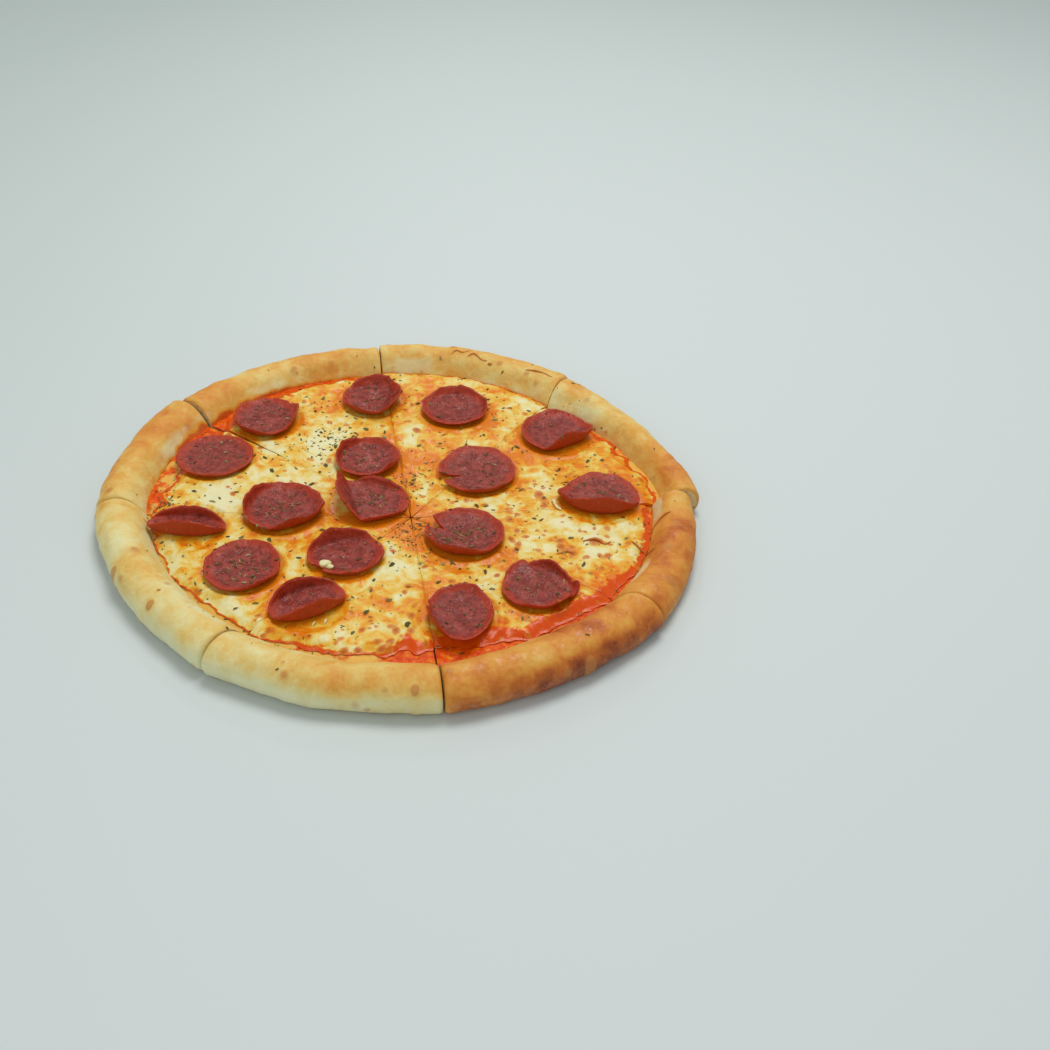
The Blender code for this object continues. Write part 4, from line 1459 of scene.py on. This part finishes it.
def large_flakes():
    """The solids' own draw of flakes: place, length, width as a share, tilt and turn."""
    draw = random.Random(FLAKE_SEED)
    flakes = []
    for wedge in wedges:
        places = []
        while len(places) < FLAKES_PER_SLICE:
            u = draw.uniform(0.08, 0.92)
            reach = wedge.cheese_edge(u) * math.sqrt(draw.uniform(0.06, 0.84))
            spot = wedge.tip + wedge.direction(u) * reach
            side = reach * (wedge.end - wedge.start) * min(u, 1 - u)
            crowded = any((spot - other).length < FLAKE_SPACING for other in places)
            covered = bed(spot.x, spot.y) < 0.7
            if side > 4.5 and not crowded and not covered:
                places.append(spot)
        for spot in places:
            length = draw.uniform(*FLAKE_LENGTH)
            wide = draw.uniform(0.85, 1.2)
            tilt = draw.uniform(-0.2, 0.2)
            turn = draw.uniform(0.0, math.pi)
            flakes.append((spot.x, spot.y, length, FLAKE_ASPECT * wide, tilt, turn))
    return flakes


print("large flakes:", len(large_flakes()))

# %% The small flakes and the pinches
PINCHES = (
    (-42, 54, 9, 60), (3, 14, 10, 60), (7, -29, 11, 80), (-119, -16, 8, 50), (-14, -8, 10, 44),
    (34, -34, 11, 60), (-68, -62, 12, 60), (20, -44, 12, 50), (96, 22, 14, 30), (-52, 40, 14, 40),
    (-58, -18, 13, 44), (-102, 26, 13, 30), (-22, 30, 11, 30), (37, 22, 13, 26), (-26, 92, 11, 30),
    (-82, 66, 13, 12), (70, -70, 11, 20), (36, -92, 12, 18), (102, 4, 12, 14), (-28, -88, 9, 14),
)
SCATTERED = 900
STREWN_RADIUS, RIM_RADIUS = 144, 128
ON_THE_RIM = 0.10


def small_flakes(chance):
    """Flakes over the whole pizza, fewer on the rim, and the denser pinches."""
    flakes = []
    while len(flakes) < SCATTERED:
        angle = chance.uniform(0, math.tau)
        away = STREWN_RADIUS * math.sqrt(chance.random())
        if away > RIM_RADIUS and chance.random() > ON_THE_RIM:
            continue
        flakes.append((away * math.cos(angle), away * math.sin(angle)))
    for x, y, spread, count in PINCHES:
        for _ in range(count):
            flakes.append((chance.gauss(x, spread * 0.6), chance.gauss(y, spread * 0.6)))
    return [(x, y, chance.triangular(0.5, 3.3, 0.9), chance.uniform(0.25, 0.6),
             chance.uniform(-0.4, 0.4), chance.uniform(0, math.pi)) for x, y in flakes]


print("flakes in the pinches:", sum(pinch[3] for pinch in PINCHES))

# %% Growing the herb mesh
def add_flake(builder, layer, flake, ground, chance):
    """One bent scrap of leaf: a small squashed ball with a crease."""
    x, y, length, aspect, tilt, turn = flake
    hit, normal = ground
    before = len(builder.verts)
    bmesh.ops.create_icosphere(builder, subdivisions=1, radius=0.5)
    builder.verts.ensure_lookup_table()
    upright = Vector((0, 0, 1)).rotation_difference(normal)
    thick = min(0.26 + 0.07 * length, 0.55)
    shade = chance.random() ** 1.6
    bend = chance.uniform(0.1, 0.35)
    for vertex in builder.verts[before:]:
        p = vertex.co.copy()
        jag = 1 + 0.9 * noise.noise(Vector((p.x * 3.4, p.y * 3.4, x + y)))
        p = Vector((p.x * length * jag, p.y * length * aspect * jag, p.z * thick))
        p.z += bend * abs(p.y) + tilt * p.x * 0.5
        p = Vector((p.x * math.cos(turn) - p.y * math.sin(turn),
                    p.x * math.sin(turn) + p.y * math.cos(turn), p.z + 0.12))
        vertex.co = hit + upright @ p * MM
        vertex[layer] = shade


def make_herbs(chance):
    builder = bmesh.new()
    layer = builder.verts.layers.float.new("shade")
    flakes = large_flakes() + small_flakes(chance)
    for flake in flakes:
        ground = ground_under(flake[0], flake[1])
        if ground and ground[1].z > 0.2:
            add_flake(builder, layer, flake, ground, chance)
    mesh = bpy.data.meshes.new("herbs")
    builder.to_mesh(mesh)
    builder.free()
    mesh.materials.append(herb_finish)
    return placed("oregano_flakes", mesh), len(flakes)


herbs, flake_count = make_herbs(random.Random(8))
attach(herbs, "root")
print("herb flakes:", flake_count, "triangles:", len(herbs.data.polygons))

# %% [markdown]
# ## Strings and crumbs of cheese
#
# Where grated cheese fell on the rim it melted into brown loops, and pale strings hang between the
# cheese and a lifted round. A strand is a thin tube along a few points, each laid on what is under
# it. Crumbs are small squashed balls. Both are one mesh with the toasting stored per point.

# %% Where the strings lie: points with a lift in mm, thickness, and how toasted they are
STRANDS = (
    dict(route=((15, 136, 0), (18, 139, 0.3), (22, 137.5, 0), (26, 139, 0)), thick=0.9, toast=0.55),
    dict(route=((25, 134, 0), (29, 136, 0.3), (33, 132.5, 0), (37, 131, 0)), thick=1.0, toast=0.7),
    dict(route=((-2.6, 131, 0), (-1, 121, 0)), thick=0.8, toast=0.6),
    dict(route=((60, 121, 0), (65, 119.5, 0.3), (71, 117, 0), (76, 113, 0)), thick=1.0, toast=0.55),
    dict(route=((126, -20, 0), (132, -14, 0.4), (137, -12, 0)), thick=0.9, toast=1.0),
    dict(route=((117, -29, 0), (121, -34, 0.3), (128, -38, 0)), thick=1.0, toast=1.0),
    dict(route=((93, -31, 0), (99, -29.5, 0.3), (104, -32, 0), (107, -30, 0)), thick=1.3, toast=1.0),
    dict(route=((80, -42, 0), (85, -39.5, 0.2), (88, -41, 0)), thick=1.1, toast=0.9),
    dict(route=((79, -95, 0), (89, -89, 0), (101, -86, 0)), thick=0.8, toast=0.8),
    dict(route=((-29, -102, 0), (-28.5, -100.5, 0.5), (-28, -99, 0.4)), thick=0.9, toast=0.0),
    dict(route=((-24, -100, 0), (-23.5, -98.5, 0.5), (-23.5, -97, 0.4)), thick=0.8, toast=0.05),
    dict(route=((78, 3, 0), (79, -2, 0.3), (82, -7, 0.2)), thick=1.6, toast=0.05),
)
CRUMBS = (
    (-29.7, -61.3, 5.6, 0.0), (-27.0, -62.8, 3.6, 0.0), (60, 12, 1.6, 0.6), (-99, -92, 1.6, 0.7),
    (38.8, 129, 2.4, 0.9), (-8.6, 124.8, 2.0, 0.7), (-117, -10, 2.0, 0.1), (81, -84, 2.0, 0.9),
)
TUBE_SIDES = 7
TUBE_STEPS = 18
print("strands:", len(STRANDS), "crumbs:", len(CRUMBS))

# %% Making strands and crumbs
TUBE_WIDE, TUBE_HIGH = 1.25, 0.8
OIL_ON_STRINGS = 0.22
UP = Vector((0, 0, 1))


def add_strand(builder, layer, strand, chance):
    """A tube that tapers to both ends and swells unevenly between them."""
    route = strand["route"]
    rings = []
    for i in range(TUBE_STEPS + 1):
        share = i / TUBE_STEPS
        x, y, lift = spline(route, share * (len(route) - 1))
        ahead = spline(route, min(share + 0.02, 1.0) * (len(route) - 1))
        ground = ground_under(x, y)
        if not ground:
            continue
        run = Vector((ahead[0] - x, ahead[1] - y, 0.0))
        run = run.normalized() if run.length > 1e-6 else rings[-1][1]
        swell = 1 + 0.45 * noise.noise(Vector((x / 2, y / 2, 60.0)))
        taper = math.sin(math.pi * min(max(share, 0.04), 0.96)) ** 0.6
        size = strand["thick"] * swell * (0.25 + 0.75 * taper)
        rings.append((ground[0] + Vector((0, 0, (lift + size * 0.25) * MM)), run, size))
    aside_rings = []
    for centre, run, size in rings:
        aside = run.cross(UP).normalized()
        ring = []
        for j in range(TUBE_SIDES):
            turn = math.tau * j / TUBE_SIDES
            spot = aside * math.cos(turn) * TUBE_WIDE + UP * math.sin(turn) * TUBE_HIGH
            vertex = builder.verts.new(centre + spot * size * 0.5 * MM)
            vertex[layer] = strand["toast"] * chance.uniform(0.75, 1.1)
            ring.append(vertex)
        aside_rings.append(ring)
    for ring, following in zip(aside_rings, aside_rings[1:]):
        for j in range(TUBE_SIDES):
            k = (j + 1) % TUBE_SIDES
            builder.faces.new((ring[j], ring[k], following[k], following[j]))
    builder.faces.new(list(reversed(aside_rings[0])))
    builder.faces.new(aside_rings[-1])


def add_crumb(builder, layer, crumb, chance):
    """A lump of cheese, squashed onto what is under it."""
    x, y, size, toast = crumb
    ground = ground_under(x, y)
    if not ground:
        return
    before = len(builder.verts)
    bmesh.ops.create_icosphere(builder, subdivisions=3, radius=0.5)
    builder.verts.ensure_lookup_table()
    for vertex in builder.verts[before:]:
        p = vertex.co.copy()
        p *= 1 + 0.35 * noise.noise(p * 2.5 + Vector((x, y, 0)))
        squashed = Vector((p.x, p.y * 0.8, p.z * 0.6 + 0.12)) * size
        vertex.co = ground[0] + squashed * MM
        vertex[layer] = toast


def make_strings(chance):
    builder = bmesh.new()
    layer = builder.verts.layers.float.new("toast")
    for strand in STRANDS:
        add_strand(builder, layer, strand, chance)
    for crumb in CRUMBS:
        add_crumb(builder, layer, crumb, chance)
    bmesh.ops.recalc_face_normals(builder, faces=builder.faces)
    mesh = bpy.data.meshes.new("strings")
    builder.to_mesh(mesh)
    builder.free()
    oil = mesh.attributes.new("oil", "FLOAT", "POINT")
    oil.data.foreach_set("value", [OIL_ON_STRINGS] * len(mesh.vertices))
    mesh.materials.append(cheese_finish)
    mesh.shade_smooth()
    return placed("cheese_strings_and_crumbs", mesh)


strings = make_strings(random.Random(3))
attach(strings, "root")
print("string and crumb faces:", len(strings.data.polygons))

# %% [markdown]
# ## Stage, light and camera
#
# The floor is a pale sweep, with painted shade that darkens it towards the back and the left.
# A large soft lamp overhead, a little behind the pizza, gives the broad highlights on rim and
# pepperoni. A small one behind the pizza draws the wet glints, a weak one lights the front, and a
# pale world fills the shadows. The camera looks down at 37 degrees from in front and slightly to
# the right.

# %% The floor
FLOOR_NEAR = (0.575, 0.63, 0.625)
FLOOR_FAR_SHADE = (0.475, 0.545, 0.525)
FLOOR_SIZE = 6.0
FLOOR_BELOW = 0.0002


def make_floor():
    floor = Surface("pale_floor", Roughness=0.6)
    far = floor.node("ShaderNodeSeparateXYZ", {}, {"Vector": floor.place}, 1)
    side = floor.node("ShaderNodeSeparateXYZ", {}, {"Vector": floor.place}, 0)
    # Painted shade: the floor's colour darkens towards the back and towards the left.
    painted_falloff = far.between(-0.3, 2.0) * 0.8 + (1 - side.between(-0.6, 0.1)) * far.between(-0.4, 0.2) * 0.7
    floor.feed("Base Color", floor.mix(painted_falloff.smaller(1.0), FLOOR_NEAR, FLOOR_FAR_SHADE))
    floor.feed("Roughness", 0.6 + floor.grain(300.0, 2.0) * 0.05)
    builder = bmesh.new()
    bmesh.ops.create_grid(builder, x_segments=8, y_segments=8, size=FLOOR_SIZE)
    mesh = bpy.data.meshes.new("floor")
    builder.to_mesh(mesh)
    builder.free()
    mesh.materials.append(floor.material)
    plane = placed("floor", mesh)
    plane.location.z = -FLOOR_BELOW
    return plane


print("floor:", make_floor().name)

# %% The lamps
# Every lamp is aimed at the middle of the pizza, and its sizes are in metres and watts.
LAMPS = (
    dict(name="overhead", place=(0.20, 0.50, 1.5), size=0.8, power=13.8, colour=(1.0, 0.985, 0.96)),
    dict(name="glints", place=(-0.16, 1.25, 0.93), size=0.08, power=1.2, colour=(1.0, 1.0, 1.0)),
    dict(name="front_fill", place=(-0.5, -1.3, 1.1), size=1.2, power=4.5, colour=(1.0, 1.0, 1.0)),
)
WORLD_COLOUR = (0.96, 1.0, 1.0, 1.0)
WORLD_STRENGTH = 0.48


def add_lamp(name, place, size, power, colour):
    lamp = bpy.data.lights.new(name, "AREA")
    lamp.shape = "DISK"
    lamp.size = size
    lamp.energy = power
    lamp.color = colour
    thing = placed(name, lamp)
    thing.location = place
    thing.rotation_euler = (-Vector(place)).to_track_quat("-Z", "Y").to_euler()


for lamp in LAMPS:
    add_lamp(**lamp)
world = bpy.data.worlds.new("studio")
world.use_nodes = True
background = world.node_tree.nodes["Background"]
background.inputs["Color"].default_value = WORLD_COLOUR
background.inputs["Strength"].default_value = WORLD_STRENGTH
bpy.context.scene.world = world

# %% The camera
CAMERA_PLACE = (64.0, -499.9, 372.0)
CAMERA_PITCH = 37.094
CAMERA_ROLL = 2.567
FOCAL_SHARE = 1200 / 1050
SENSOR = 36.0

camera = placed("camera", bpy.data.cameras.new("camera"))
camera.data.sensor_width = SENSOR
camera.data.lens = FOCAL_SHARE * SENSOR
camera.data.clip_start = 0.01
camera.location = ((CAMERA_PLACE[0] - MIDDLE[0]) * MM, (CAMERA_PLACE[1] - MIDDLE[1]) * MM,
                   CAMERA_PLACE[2] * MM)
pitch = Quaternion((1, 0, 0), math.radians(90 - CAMERA_PITCH))
roll = Quaternion((0, 0, 1), math.radians(CAMERA_ROLL))
camera.rotation_mode = "QUATERNION"
camera.rotation_quaternion = pitch @ roll
bpy.context.scene.camera = camera
bpy.context.scene.view_settings.view_transform = "Standard"
print("camera lens:", round(camera.data.lens, 2), "mm")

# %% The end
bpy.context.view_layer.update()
print("seconds:", round(time.time() - started, 1))
